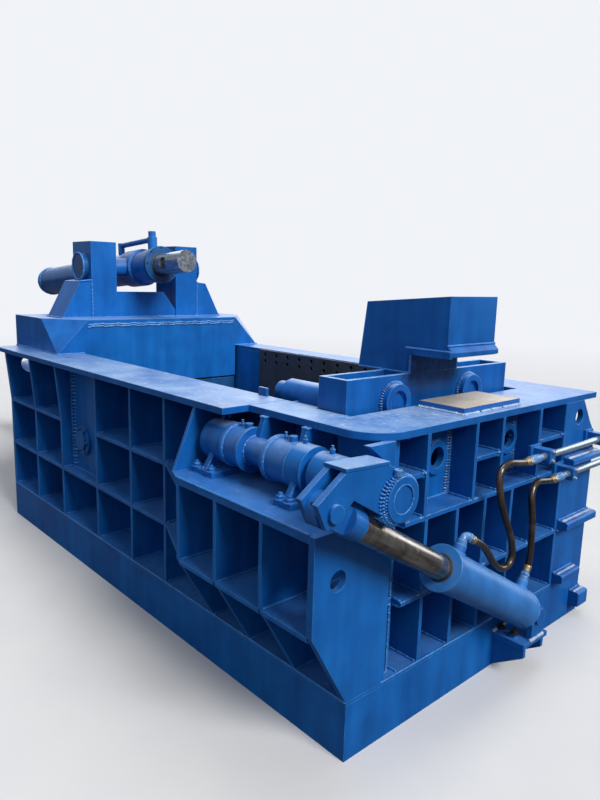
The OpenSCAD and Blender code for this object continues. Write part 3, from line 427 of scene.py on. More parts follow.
def addTree(name, inputs):
    # a geometry tree with named inputs, and the identifier of each
    tree = bpy.data.node_groups.new(name, "GeometryNodeTree")
    keys = {}
    tree.interface.new_socket("Geometry", in_out="INPUT", socket_type="NodeSocketGeometry")
    for label, kind in inputs.items():
        socket = tree.interface.new_socket(label, in_out="INPUT", socket_type="NodeSocket" + kind)
        keys[label] = socket.identifier
    tree.interface.new_socket("Geometry", in_out="OUTPUT", socket_type="NodeSocketGeometry")
    return tree, keys


def entry(start, label):
    return start.make("NodeGroupInput", {}, {}, label)


def turnTo(way):
    return way.make("FunctionNodeAlignRotationToVector", {"axis": "Z"}, {"Vector": way})


def endTree(start, shape, smooth):
    solid = start.make("GeometryNodeRealizeInstances", {}, {"Geometry": shape})
    soft = start.make("GeometryNodeSetShadeSmooth", {}, {"Geometry": solid, "Shade Smooth": smooth})
    painted = start.make("GeometryNodeSetMaterial", {}, {"Geometry": soft, "Material": entry(start, "Paint")})
    start.make("NodeGroupOutput", {}, {"Geometry": painted})


def weldTree():
    # overlapping ripples of weld metal along every line of the input mesh
    tree, keys = addTree("weldRipples", {
        "Width": "Float", "Pitch": "Float", "Overlap": "Float", "Seed": "Int", "Paint": "Material"})
    start = Wire(tree)
    lines = start.make("GeometryNodeMeshToCurve", {}, {"Mesh": entry(start, "Geometry")})
    stations = start.make("GeometryNodeCurveToPoints", {"mode": "LENGTH"}, {
        "Curve": lines, "Length": entry(start, "Pitch")})
    turn = turnTo(stations.also("Tangent"))
    ripple = start.make("GeometryNodeMeshIcoSphere", {}, {"Radius": 1.0, "Subdivisions": 1})
    size = start.make("FunctionNodeRandomValue", {"data_type": "FLOAT"}, {
        2: 0.80, 3: 1.16, 8: entry(start, "Seed")}, 1)
    across = size * entry(start, "Width") * 0.5
    thick = size * entry(start, "Pitch") * entry(start, "Overlap")
    scale = start.make("ShaderNodeCombineXYZ", {}, {0: across, 1: across, 2: thick})
    laid = start.make("GeometryNodeInstanceOnPoints", {}, {
        "Points": stations, "Instance": ripple, "Rotation": turn, "Scale": scale})
    endTree(start, laid, True)
    return tree, keys


def boltTree():
    # washer, hexagon and stud at every point, along the point's own direction
    tree, keys = addTree("hexBolts", {
        "Across": "Float", "Height": "Float", "Stud": "Float", "Paint": "Material"})
    start = Wire(tree)
    across = entry(start, "Across")
    height = entry(start, "Height")
    stud = entry(start, "Stud")
    parts = []
    for sides, radius, depth, foot in (
            (20, across * 0.76, height * 0.18, 0.0), (6, across * 0.577, height * 0.62, height * 0.18),
            (6, across * 0.52, height * 0.14, height * 0.80), (10, across * 0.29, stud, height * 0.9)):
        drum = start.make("GeometryNodeMeshCylinder", {}, {
            "Vertices": sides, "Radius": radius, "Depth": depth})
        lift = start.make("ShaderNodeCombineXYZ", {}, {2: depth * 0.5 + foot})
        parts.append(start.make("GeometryNodeTransform", {}, {"Geometry": drum, "Translation": lift}))
    bolt = start.make("GeometryNodeJoinGeometry", {}, {"Geometry": parts})
    facing = start.make("GeometryNodeInputNamedAttribute", {"data_type": "FLOAT_VECTOR"}, {"Name": "facing"})
    turn = turnTo(facing)
    points = start.make("GeometryNodeMeshToPoints", {}, {"Mesh": entry(start, "Geometry")})
    placed = start.make("GeometryNodeInstanceOnPoints", {}, {
        "Points": points, "Instance": bolt, "Rotation": turn})
    endTree(start, placed, False)
    return tree, keys


def addObject(name, mesh):
    made = bpy.data.objects.new(name, mesh)
    bpy.context.scene.collection.objects.link(made)
    return made


def settle(name, made, tree, keys, values):
    # runs a tree on an object and keeps the plain mesh
    modifier = made.modifiers.new("tree", "NODES")
    modifier.node_group = tree
    for label, value in values.items():
        modifier[keys[label]] = value
    bpy.context.view_layer.update()
    seen = made.evaluated_get(bpy.context.evaluated_depsgraph_get())
    mesh = bpy.data.meshes.new_from_object(seen)
    mesh.name = name
    bpy.data.objects.remove(made)
    return addObject(name, mesh)


def keep(piece, body):
    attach(piece, body)
    return piece


weldGroup, weldKeys = weldTree()
boltGroup, boltKeys = boltTree()


def layWelds(name, body, paths, width=12.0, pitch=9.0, paint=None, seed=3, overlap=0.85):
    # paths are lists of drawing points, each a run of weld
    points = []
    edges = []
    for path in paths:
        first = len(points)
        points += [spot(*p) for p in path]
        edges += [(first + i, first + i + 1) for i in range(len(path) - 1)]
    mesh = bpy.data.meshes.new(name)
    mesh.from_pydata(points, edges, [])
    piece = settle(name, addObject(name + "Line", mesh), weldGroup, weldKeys, {
        "Width": width / 1000, "Pitch": pitch / 1000, "Overlap": overlap, "Seed": seed,
        "Paint": paint or bead})
    print(name, "has", len(piece.data.polygons), "faces")
    return keep(piece, body)


def setBolts(name, body, places, paint, across, height, stud):
    # places are pairs of a drawing point and the way the head faces; sizes are millimetres
    mesh = bpy.data.meshes.new(name)
    mesh.from_pydata([spot(*p) for p, facing in places], [], [])
    way = mesh.attributes.new("facing", "FLOAT_VECTOR", "POINT")
    for one, (p, facing) in zip(way.data, places):
        one.vector = facing
    piece = settle(name, addObject(name + "Points", mesh), boltGroup, boltKeys, {
        "Across": across / 1000, "Height": height / 1000, "Stud": stud / 1000, "Paint": paint})
    return keep(piece, body)


def spread(count):
    # angles that share a circle out evenly
    return [2 * math.pi * i / count for i in range(count)]


def squareTo(way):
    # two directions square to a way and to each other
    side = way.cross(Vector((0, 0, 1)) if abs(way.z) < 0.9 else Vector((1, 0, 0))).normalized()
    return side, way.cross(side)


def ringPath(centre, axis, radius, steps=40, start=0.0, sweep=360.0):
    # points round a circle square to an axis, in drawing millimetres
    side, other = squareTo(Vector(axis).normalized())
    angles = [math.radians(start + sweep * i / steps) for i in range(steps + 1)]
    return [tuple(Vector(centre) + side * radius * math.cos(a) + other * radius * math.sin(a))
            for a in angles]


# weld runs lie this far inside the corners of a bay, and stop this far short of its open face
bayRuns = {"inset": 3, "frontRim": 14, "endRim": 12}


def frontSpot(x, y, z):
    return (x, y, z)


def endSpot(y, x, z):
    return (x, y, z)


def bayPaths(sides, heights, run, back, put):
    # round the back plate of one bay, and along each of its four corners
    first, last = sides[0] + bayRuns["inset"], sides[1] - bayRuns["inset"]
    low, high = heights[0] + bayRuns["inset"], heights[1] - bayRuns["inset"]
    corners = [(first, low), (last, low), (last, high), (first, high)]
    loop = [put(a, back, z) for a, z in corners + corners[:1]]
    return [loop] + [[put(a, depth, z) for depth in run] for a, z in corners]


# bays of the front wall: columns between ribs, rows between shelves, and one recess two rows high
frontBays = {"ribs": [-2534, -2170, -1750, -1396, -1100], "rib": 16, "left": -2895, "end": -740, "right": -8,
             "rows": [(212, 467), (483, 736), (752, 1035)], "depth": 225, "recessed": 2, "recess": 63,
             "skidTop": 211}


def frontWelds(bays):
    starts = [bays["left"]] + [x + bays["rib"] for x in bays["ribs"]]
    ends = bays["ribs"] + [bays["end"]]
    paths = []
    for column, sides in enumerate(zip(starts, ends)):
        cells = [(heights, bays["depth"]) for heights in bays["rows"]]
        if column == bays["recessed"]:
            cells = [cells[0], ((bays["rows"][1][0], bays["rows"][2][1]), bays["recess"])]
        for heights, depth in cells:
            back = depth - bayRuns["inset"]
            paths += bayPaths(sides, heights, (bayRuns["frontRim"], back), back, frontSpot)
    paths.append([(bays["left"], -1, bays["skidTop"]), (bays["right"], -1, bays["skidTop"])])
    return paths


# bays under the turn-out shaft, whose plates lean out in front of the skid:
# each row has its low and high edge and how far forward the plates come at both
stepBays = {"columns": ((-724, -505), (-489, -254), (-238, -25)), "back": 222,
            "rows": ((212, 467, 6, -146), (483, 775, -146, -146)),
            "platform": [(-735, -157, 802), (-30, -157, 802)], "skid": [(-1, 170, 211), (-1, 1300, 211)]}


def stepWelds(bays):
    back = bays["back"]
    paths = []
    for x0, x1 in bays["columns"]:
        first, last = x0 + bayRuns["inset"], x1 - bayRuns["inset"]
        for z0, z1, lowFront, highFront in bays["rows"]:
            low, high = z0 + bayRuns["inset"], z1 - bayRuns["inset"]
            corners = [(first, low), (last, low), (last, high), (first, high), (first, low)]
            paths.append([(x, back, z) for x, z in corners])
            for x in (first, last):
                paths.append([(x, lowFront, low), (x, back, low)])
                paths.append([(x, highFront, high), (x, back, high)])
    return paths + [bays["platform"], bays["skid"]]


# bays of the right-hand end wall: the top columns are shelved or recessed in full, the low ones have two rows
endBays = {"columns": [(250, 345), (361, 628), (644, 805), (821, 1085), (1101, 1302)], "recessed": (1, 3),
           "shelved": ((905, 1035), (750, 889)), "full": (750, 1035), "deep": -237, "recess": -108,
           "low": [(250, 356), (372, 537), (553, 715), (731, 905), (921, 1081), (1097, 1302)],
           "rows": [(212, 454), (470, 734)], "ring": {"y": (534, 1020), "z": 903, "radius": 64}}


def topCells(bays):
    cells = []
    for column, sides in enumerate(bays["columns"]):
        if column in bays["recessed"]:
            cells.append((sides, bays["full"], bays["recess"]))
        else:
            cells += [(sides, heights, bays["deep"]) for heights in bays["shelved"]]
    return cells


def lowCells(bays):
    return [(sides, heights, bays["deep"]) for sides in bays["low"] for heights in bays["rows"]]


def endWelds(bays):
    paths = []
    for sides, heights, deep in topCells(bays) + lowCells(bays):
        back = deep + bayRuns["inset"]
        paths += bayPaths(sides, heights, (back, -bayRuns["endRim"]), back, endSpot)
    for y in bays["ring"]["y"]:
        centre = (bays["recess"] + 1, y, bays["ring"]["z"])
        paths.append(ringPath(centre, (1, 0, 0), bays["ring"]["radius"], 30))
    return paths


def crossings(bays):
    # short beads where the shelves meet the ribs of the end wall
    paths = []
    for cells, near, far in ((topCells(bays), 4, 16), (lowCells(bays), 3, 17)):
        for cell in cells:
            sides, level = cell[0], cell[1][0] - 2
            for y, way in zip(sides, (1, -1)):
                paths.append([(-2, y + way * near, level), (-2, y + way * far, level)])
    return paths


def upright(x, y, z0, z1):
    return [(x, y, z0), (x, y, z1)]


layWelds("crossingWelds", "frame", crossings(endBays), width=11, pitch=7, paint=fittingAndSheen, seed=27, overlap=0.8)
layWelds("frontWelds", "frame", frontWelds(frontBays), width=11, pitch=10)
layWelds("stepWelds", "frame", stepWelds(stepBays), width=11, pitch=9)
layWelds("endWelds", "frame", endWelds(endBays), width=11, pitch=10)
# broad seams, sunk into the plates of the recesses so that they stand out only a little
layWelds("seamWeld", "frame", [upright(-2126, 75, 505, 1024)], width=64, pitch=19, seed=4, overlap=0.30)
layWelds("recessWelds", "frame", [upright(-121, y, 760, 1030) for y in (620, 1077)],
         width=52, pitch=10.5, paint=fittingAndSheen, seed=14, overlap=0.34)
print("bay welds laid")


# the pedestal: its block and top, the towers on it, the gussets outside the towers and its foot on the flange
pedestal = {"top": 1257, "foot": 1062, "left": -2900, "face": -2640, "towers": ((419, 585), (1015, 1181)),
            "gusset": -2870, "near": 229, "far": 1371, "slope": ((347, 1478), (419, 1486)), "apron": -2448,
            "nearFoot": (-3098, 112, 268), "farFoot": (1378, 1560), "trunnions": (384, 1216), "trunnion": 82}


def boxPath(x0, y0, x1, y1, z):
    return [(x0, y0, z), (x1, y0, z), (x1, y1, z), (x0, y1, z), (x0, y0, z)]


def pedestalWelds(sizes):
    top, foot, face, apron = sizes["top"], sizes["foot"], sizes["face"], sizes["apron"]
    near, far, gusset = sizes["near"], sizes["far"], sizes["gusset"]
    (y0, y1), (y2, y3) = sizes["towers"]
    corner, start, end = sizes["nearFoot"]
    shoulder = sizes["slope"][1][1]
    paths = [boxPath(sizes["left"], low, face, high, top) for low, high in sizes["towers"]]
    paths += [[(gusset, near, top), (face, near, top)], [(gusset, near, top), (gusset, y0, top)],
              [(face, near, top), (face, y0, top)], [(gusset, far, top), (face, far, top)],
              [(face, y3, top), (face, far, top)], [(face, y, z) for y, z in sizes["slope"]],
              upright(face + 2, y0, top, shoulder), upright(face + 2, y3, top, shoulder),
              [(face - 10, y1, top), (face - 10, y2, top)],
              [(corner, start, foot), (apron, start, foot), (apron, end, foot)],
              [(apron, y, foot) for y in sizes["farFoot"]]]
    return paths + [ringPath((lid["x"], y, lid["z"]), (0, 1, 0), sizes["trunnion"], 32)
                    for y in sizes["trunnions"]]


layWelds("pedestalWelds", "frame", pedestalWelds(pedestal), width=14, pitch=10, seed=5)
# the apron's thick seam, wandering a little in height
apronSeam = {"x": -2450, "from": 306, "step": 21, "count": 51, "rows": (1229, 1217), "wander": 4.5}


def apronPath(seam, z):
    return [(seam["x"], seam["from"] + seam["step"] * i,
             z + seam["wander"] * math.sin(i * 1.9 + z) * math.cos(i * 0.7)) for i in range(seam["count"])]


layWelds("apronWeld", "frame", [apronPath(apronSeam, z) for z in apronSeam["rows"]],
         width=13, pitch=8, paint=fittingAndSheen, seed=8, overlap=0.9)

# ledges at the far corner of the end wall, by height and the ends of each run, under them and on their tops
ledges = {"face": 3, "lip": 21,
          "runs": ((797, 1324, 1596), (511, 1324, 1596), (264, 1324, 1486),
                   (124, 1512, 1596), (756, 1324, 1596), (461, 1324, 1596)),
          "tops": ((793, 1330, 1590), (507, 1330, 1590), (260, 1330, 1482), (120, 1516, 1590))}
# foot of the cylinder bracket, and the pad that the gate's jaw lands on with its dashes of weld
bracket = {"z": 152, "runs": ((3, 856, 1024), (137, 900, 992))}
pad = {"edge": -37, "top": 1062, "dashes": ((604, 688), (712, 764), (778, 838), (858, 880), (896, 974)),
       "near": (-236, 598, -42)}


def levelRun(x, z, y0, y1):
    return [(x, y0, z), (x, y1, z)]


padRuns = [levelRun(pad["edge"], pad["top"], y0, y1) for y0, y1 in pad["dashes"]]
padX, padY, padEnd = pad["near"]
layWelds("ledgeWelds", "frame", [levelRun(ledges["face"], *run) for run in ledges["runs"]],
         width=15, pitch=9, seed=9, overlap=0.62)
layWelds("bracketWelds", "frame", [levelRun(x, bracket["z"], y0, y1) for x, y0, y1 in bracket["runs"]],
         width=20, pitch=9, paint=brightBead, seed=9, overlap=0.62)
layWelds("ledgeTopWelds", "frame", [levelRun(ledges["lip"], *run) for run in ledges["tops"]],
         width=20, pitch=9, paint=brightBead, seed=10, overlap=0.42)
layWelds("padWelds", "frame", padRuns + [[(padX, padY, pad["top"]), (padEnd, padY, pad["top"])]],
         width=15, pitch=9, paint=brightBead, seed=6, overlap=0.6)
print("pedestal and ledge welds laid")

# rings of weld round the shaft's hubs, as place and radius, and the runs on top of the tray and its toe
trayJoints = {"rings": ((-634, 78), (-555, 78), (-541, 52), (-412, 52), (-398, 78), (-293, 77),
                        (45, 74), (67, 70), (107, 70)),
              "arms": ((-540, 226), (-516, 226), (-318, 198), (-294, 198)), "armStart": 74, "armTop": 1033,
              "ends": (-608, -461), "endRun": (273, 330), "endTop": 1052}


def shaftRing(x, radius, steps=36, start=0.0, sweep=360.0):
    return ringPath((x, shaft["y"], shaft["z"]), (1, 0, 0), radius, steps, start, sweep)


def trayPaths(joints):
    return ([shaftRing(x, radius) for x, radius in joints["rings"]]
            + [levelRun(x, joints["armTop"], joints["armStart"], y) for x, y in joints["arms"]]
            + [levelRun(x, joints["endTop"], *joints["endRun"]) for x in joints["ends"]])


layWelds("trayWelds", "turnout_tray", trayPaths(trayJoints), width=11, pitch=8, seed=7)
# rows of weld on the crank's boss: where along the shaft, radius, width, and the arc in degrees from
# the front; their ripples get further apart with the radius
bossTeeth = {"spacing": 8.6, "radius": 70, "gap": 0.8,
             "rows": ((137, 69, 15, -180, 360), (133, 76, 16, -74, 146), (129, 83, 14, -44, 96))}
for row, (x, radius, width, start, sweep) in enumerate(bossTeeth["rows"]):
    pitch = bossTeeth["spacing"] * radius / bossTeeth["radius"] + bossTeeth["gap"]
    layWelds("bossWeld%d" % (row + 1), "turnout_tray", [shaftRing(x, radius, 90, start, sweep)],
             width=width, pitch=pitch, seed=11, overlap=0.40)
layWelds("shaftEndWeld", "turnout_tray", [shaftRing(145, 44, 60)], width=7, pitch=8, seed=12)

# the two bearings of the shaft, by their ends; their gussets, base plates and nuts lie round the shaft's line
bearings = {"ends": ((-773, -651), (-289, -216)), "gusset": 10, "foot": (96, 822), "shoulder": (58, 886),
            "base": 98, "outside": (6, 70, 802), "nuts": (14, 102, 820)}


def bearingPaths(sizes):
    (footOut, footTop), (shoulderOut, shoulderTop) = sizes["foot"], sizes["shoulder"]
    gap, out, level = sizes["outside"]
    y = shaft["y"]
    paths = []
    for x0, x1 in sizes["ends"]:
        for side in (-1, 1):
            x = (x0 + x1) / 2 + side * sizes["gusset"]
            paths.append([(x, y - footOut, footTop), (x, y - shoulderOut, shoulderTop)])
            paths.append(levelRun(x, footTop, y - sizes["base"], y + sizes["base"]))
        paths.append(levelRun(x0 - gap, level, y - out, y + out))
    return paths


layWelds("bearingWelds", "frame", bearingPaths(bearings), width=10, pitch=8, seed=13)

gateBosses = [ringPath((-293, y, 1080), (1, 0, 0), 73, 36) for y in (512, 992)]
layWelds("gateBossWelds", "end_gate", gateBosses, width=20, pitch=9.5, paint=fittingAndSheen, seed=15, overlap=0.42)
# the gate's head: along the foot of its near side, up two corners, and along the flare of the jaw
headRuns = [[(-554, 600, 1182), (-300, 600, 1182)], upright(-295, 600, 1184, 1250),
            upright(-295, 905, 1184, 1250), [(-307, 590, 1279), (-112, 590, 1279)],
            levelRun(-127, 1299, 602, 903)]
layWelds("headWelds", "end_gate", headRuns, width=10, pitch=8, seed=16)


def lidPoint(along, side, out):
    # a point on the tilted lid cylinder, from its trunnion
    tilt = lid["tilt"]
    return (lid["x"] + along * math.cos(tilt) - out * math.sin(tilt), lid["y"] + side,
            lid["z"] + along * math.sin(tilt) + out * math.cos(tilt))


def ramPoint(along, side=0.0, out=0.0):
    # a point on the turn-out cylinder's line, from the crank pin
    return tuple(ram["pin"] + ram["way"] * along + Vector((side, 0, 0)) + ram["out"] * out)


def roundPath(point, along, radius, steps):
    # a ring about either cylinder's line
    angles = [math.radians(360 * i / steps) for i in range(steps + 1)]
    return [point(along, radius * math.cos(a), radius * math.sin(a)) for a in angles]


def portRing(along, radius=24, out=75, barrel=74, steps=24):
    # the saddle line where a round port meets the barrel
    path = []
    for i in range(steps + 1):
        a = math.radians(360 * i / steps)
        across = radius * math.sin(a)
        sunk = barrel - math.sqrt(barrel ** 2 - across ** 2)
        path.append(ramPoint(along + radius * math.cos(a), across, out - sunk))
    return path


lidRings = ((80, 108), (-80, 108), (273, 107), (-1446, 106), (-1462, 106))
layWelds("lidWelds", "lid_cylinder", [roundPath(lidPoint, along, radius, 44) for along, radius in lidRings],
         width=12, pitch=9, seed=17)
ramRings = ((ram["gland"] + 17, 76), (ram["end"] - 2, 72))
ramPaths = [roundPath(ramPoint, along, radius, 40) for along, radius in ramRings]
layWelds("cylinderWelds", "turnout_cylinder", ramPaths + [portRing(along) for along in ram["ports"]],
         width=9, pitch=7, seed=19)
layWelds("rodWelds", "turnout_piston_rod", [roundPath(ramPoint, 147, 43, 40)], width=6, pitch=6, seed=21)
print("moving welds laid")


def nutPlaces(sizes):
    inset, out, level = sizes["nuts"]
    return [((x, shaft["y"] + side * out, level), up)
            for x0, x1 in sizes["ends"] for x in (x0 + inset, x1 - inset) for side in (-1, 1)]


def coverPlaces(sizes):
    circle = sizes["circle"]
    return [((sizes["x"] + circle * math.cos(a), sizes["y"], sizes["z"] + circle * math.sin(a)), (0, -1, 0))
            for a in spread(sizes["bolts"])]


def glandPlaces(sizes):
    circle = sizes["circle"]
    return [(lidPoint(sizes["along"], circle * math.cos(a), circle * math.sin(a)), lid["way"])
            for a in spread(sizes["screws"])]


def clampPlaces(sizes):
    return [((sizes["x"], y, z + side * sizes["bolt"]), (1, 0, 0))
            for y, z in sizes["lines"] for side in (-1, 1)]


# bolt circles of the round cover and the lid cylinder's gland, the oil lines' clamps, the bracket's foot
up = (0, 0, 1)
cover = {"x": -2005, "y": 39, "z": 654, "circle": 64, "bolts": 6}
gland = {"along": 282, "circle": 102, "screws": 8}
clamps = {"x": 84, "lines": ((1050, 862), (1262, 752), (1525, 862)), "bolt": 18}
bracketPlaces = [((x, 882, 164), up) for x in (20, 78)]
footPiece = setBolts("bearingBolts", "frame", nutPlaces(bearings), blue,
                     across=26, height=17, stud=9)
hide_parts("foot_bolts")
setBolts("bracketBolts", "frame", bracketPlaces, bolthole, across=24, height=12, stud=10)
setBolts("clampBolts", "frame", clampPlaces(clamps), bare["zinc"], across=12, height=8, stud=3)
setBolts("coverBolts", "frame", coverPlaces(cover), blue, across=11, height=6, stud=2)
setBolts("glandScrews", "lid_cylinder", glandPlaces(gland), bolthole,
         across=12.5, height=11, stud=2)
print("bolts set")


def softenEdges(piece, angle):
    # smooth faces, with the corners past the angle kept sharp
    piece.data.shade_smooth()
    piece.data.set_sharp_from_angle(angle=math.radians(angle))


def addSolid(name, points, faces, paint):
    mesh = bpy.data.meshes.new(name)
    mesh.from_pydata(points, [], faces)
    mesh.materials.append(paint)
    return addObject(name, mesh)


def turned(name, rings, profile, paint, body, sides=20, closed=False):
    # revolves a profile of (radius, height) pairs about each (foot, way) in drawing millimetres;
    # a closed one runs back to its start round the rod, another ends in two flat faces
    points = []
    faces = []
    bands = len(profile) if closed else len(profile) - 1
    for foot, way in rings:
        way = Vector(way).normalized()
        side, other = squareTo(way)
        first = len(points)
        for radius, height in profile:
            for a in spread(sides):
                out = (side * math.cos(a) + other * math.sin(a)) * radius
                points.append(spot(*(Vector(foot) + way * height + out)))
        for i in range(bands):
            here = first + i * sides
            there = first + (i + 1) % len(profile) * sides
            for k in range(sides):
                m = (k + 1) % sides
                faces.append((here + k, here + m, there + m, there + k))
        if not closed:
            last = first + bands * sides
            faces.append(tuple(first + k for k in range(sides - 1, -1, -1)))
            faces.append(tuple(last + k for k in range(sides)))
    piece = addSolid(name, points, faces, paint)
    softenEdges(piece, 35)
    return keep(piece, body)


nipple = [(2.5, 0), (2.5, 3), (4.8, 3), (4.8, 6), (2.7, 7), (2.7, 10), (5.4, 10.5), (5.4, 12.6), (4.6, 13.3)]
greaseCup = [(8.5, 0), (8.5, 7), (12, 8), (12.5, 26), (11, 28), (8.5, 28), (8, 25)]
# where the nipples stand along the shaft, and how high: on the bearings, and on the parts that turn
nipples = {"bearings": ((-692, 1004), (-272.5, 1004)), "turning": ((-146, 998), (-612.5, 999), (-370, 999))}
turned("greaseNipples", [((x, shaft["y"], z), up) for x, z in nipples["bearings"]], nipple, blue,
       "frame", sides=12)
turned("crankNipples", [((x, shaft["y"], z), up) for x, z in nipples["turning"]], nipple, blue,
       "turnout_tray", sides=12)
# a black disc on the rod's eye stands for its grease hole: painted shade of the hole
turned("eyeHole", [(ramPoint(-49.4), tuple(-ram["way"]))], [(5.5, 0), (5.5, 1.0), (4.2, 1.3)], bolthole,
       "turnout_piston_rod", sides=16)
turned("greaseCup", [((137, 26, 976), up)], greaseCup, fittingAndSheen, "turnout_tray", sides=24)
lidWiper = [(66.6, 0), (74, 0), (74, 2), (72, 4), (67.4, 6), (66.6, 3)]
turned("lidWiper", [(lidPoint(298, 0, 0), lid["way"])], lidWiper, rubber,
       "lid_cylinder", sides=40, closed=True)
ramWiper = [(42.6, 0), (48, 0), (48, 2), (46, 4), (43.2, 5), (42.6, 3)]
turned("ramWiper", [(ramPoint(ram["gland"]), tuple(-ram["way"]))], ramWiper, rubber,
       "turnout_cylinder", sides=40, closed=True)
print("turned details made")

# hydraulic hoses: the routes are those of the solids
hoseRoutes = {
    "hose_rod_end": [
        (87, 500.4, 662.6), (87, 525, 648.2), (88, 558, 630), (89, 590, 606), (90, 622, 572), (91, 656, 532),
        (92, 700, 498), (92, 744, 488), (92, 775, 503), (91, 785, 540), (89, 768, 600), (85, 738, 660),
        (80, 716, 710), (74, 700, 762), (69, 694, 811), (64, 700, 848), (61, 725, 870), (60, 775, 877),
        (60, 835, 868), (60, 880, 862), (60, 904.7, 862)],
    "hose_base_end": [
        (87, 913.7, 420.8), (87, 924.7, 439.6), (88, 930, 470), (88, 931, 520), (87, 930, 575),
        (84, 930, 630), (77, 931, 680), (70, 936, 722), (64, 958, 752), (60, 995, 764), (60, 1045, 758),
        (60, 1094, 752), (60, 1119.7, 752)],
}
hoseSizes = {"radius": 13.0, "sides": 20, "step": 6}
stubSizes = {"radius": 13.5, "sides": 24}


def smoothRoute(points, steps):
    # a curve through the points, with its ends kept straight
    points = [Vector(p) for p in points]
    full = [points[0] * 2 - points[1]] + points + [points[-1] * 2 - points[-2]]
    route = []
    for i in range(1, len(full) - 2):
        a, b, c, d = full[i - 1:i + 3]
        for k in range(steps):
            t = k / steps
            bow = (2 * a - 5 * b + 4 * c - d) * t * t
            route.append(0.5 * ((2 * b) + (c - a) * t + bow + (3 * b - a - 3 * c + d) * t ** 3))
    return route + [points[-1]]


def runLengths(route):
    # how far along the route each of its points lies
    lengths = [0.0]
    for before, after in zip(route, route[1:]):
        lengths.append(lengths[-1] + (after - before).length)
    return lengths


def tube(name, route, sizes, paint):
    # a round tube along a route, with its turns and millimetres kept in the "hose" layer
    sides = sizes["sides"]
    lengths = runLengths(route)
    points = []
    for i, p in enumerate(route):
        way = (route[min(i + 1, len(route) - 1)] - route[max(i - 1, 0)]).normalized()
        side = (Vector((1, 0, 0)) - way * way.x).normalized()
        other = way.cross(side)
        for a in spread(sides):
            points.append(spot(*(p + (side * math.cos(a) + other * math.sin(a)) * sizes["radius"])))
    faces = []
    marks = []
    for i in range(len(route) - 1):
        for k in range(sides):
            m = (k + 1) % sides
            faces.append((i * sides + k, i * sides + m, (i + 1) * sides + m, (i + 1) * sides + k))
            marks += [(k / sides, lengths[i]), ((k + 1) / sides, lengths[i]),
                      ((k + 1) / sides, lengths[i + 1]), (k / sides, lengths[i + 1])]
    faces.append(tuple(range(sides - 1, -1, -1)))
    marks += [(0.0, 0.0)] * sides
    faces.append(tuple((len(route) - 1) * sides + k for k in range(sides)))
    marks += [(0.0, lengths[-1])] * sides
    piece = addSolid(name, points, faces, paint)
    layer = piece.data.uv_layers.new(name="hose")
    for corner, (u, v) in enumerate(marks):
        layer.data[corner].uv = (u * 4, v / 20)
    softenEdges(piece, 50)
    return piece


for node, points in hoseRoutes.items():
    route = smoothRoute(points, hoseSizes["step"])
    length = runLengths(route)[-1] / 1000
    piece = tube(node + "Tube", route, hoseSizes, hose)
    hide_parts(node)
    spot(*points[0])
    spot(*points[-1])
    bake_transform(piece)
    spot(*points[0])
    [spot(*p) for p in route]
    print(node, "is", round(length, 3), "m long")

# crimped sleeves at the hose ends
sleeve = [(13.2, 0), (15.4, 0), (15.4, 5), (14.6, 6), (15.2, 8), (14.6, 10), (15.2, 12), (14.6, 14),
          (15.2, 16), (15.2, 21), (13.9, 23), (13.2, 23)]


def endSleeves(name, body, places):
    turned(name, places, sleeve, bare["brass"], body, sides=24, closed=True)


rodStart = Vector(hoseRoutes["hose_rod_end"][0])
baseStart = Vector(hoseRoutes["hose_base_end"][0])
endSleeves("cylinderSleeves", "turnout_cylinder", [
    (tuple(rodStart + ram["way"] * 2), tuple(ram["way"])),
    (tuple(baseStart + ram["out"] * 2), tuple(ram["out"]))])
endSleeves("lineSleeves", "frame", [((60, 903, 862), (0, -1, 0)), ((60, 1118, 752), (0, -1, 0))])
print("hoses and sleeves made")

# ports of the turn-out cylinder: ribbed stubs, union nuts and the elbow that leads to the upper hose
stub = [(21, 0), (21, 3), (18.5, 4), (18.5, 6), (20, 7), (20, 9), (17.5, 10), (17.5, 12), (19, 13), (19, 15),
        (16.5, 16), (16.5, 20)]
nut = [(15, 0), (18.5, 1.5), (18.5, 11), (15, 12.5)]
upperPort, lowerPort = ram["ports"]
outWay = tuple(ram["out"])
stubs = turned("portStubs", [(ramPoint(along, 0, 99), outWay) for along in ram["ports"]], stub, fittingAndSheen,
               "turnout_cylinder", sides=28)
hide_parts("turnout_ports")
nutFeet = [(ramPoint(upperPort + 26, 0, 136), tuple(ram["way"])), (ramPoint(lowerPort, 0, 119), outWay)]
turned("portNuts", nutFeet, nut, fittingAndSheen, "turnout_cylinder", sides=6)
bend = {"foot": 116, "radius": 20, "out": 136, "steps": 12, "reach": 45}


def elbowRoute(sizes):
    # out of the port and round into the cylinder's own direction
    route = [Vector(ramPoint(upperPort, 0, sizes["foot"]))]
    for i in range(sizes["steps"] + 1):
        a = math.radians(90 * i / sizes["steps"])
        route.append(Vector(ramPoint(upperPort + sizes["radius"] * (1 - math.cos(a)), 0,
                                     sizes["out"] - sizes["radius"] * (1 - math.sin(a)))))
    return route + [Vector(ramPoint(upperPort + sizes["reach"], 0, sizes["out"]))]


keep(tube("portElbow", elbowRoute(bend), stubSizes, fittingAndSheen), "turnout_cylinder")
keep(tube("portPipe", [Vector(ramPoint(lowerPort, 0, out)) for out in (117, 137)], stubSizes, fittingAndSheen),
     "turnout_cylinder")

# oil lines along the end wall: union nut, painted socket and bright pipe
oilLines = {"x": 60, "lines": ((905, 862, 1620), (1120, 752, 1680)), "pipe": 14, "chamfer": 1, "socket": 22,
            "start": 60}
lineNut = [(13, 0), (17, 1), (18.5, 3), (18.5, 20), (17, 22), (14, 23)]
lineSocket = [(15, 0), (17, 1), (18, 3), (18, 52), (16, 56), (14, 57)]
alongWall = (0, 1, 0)


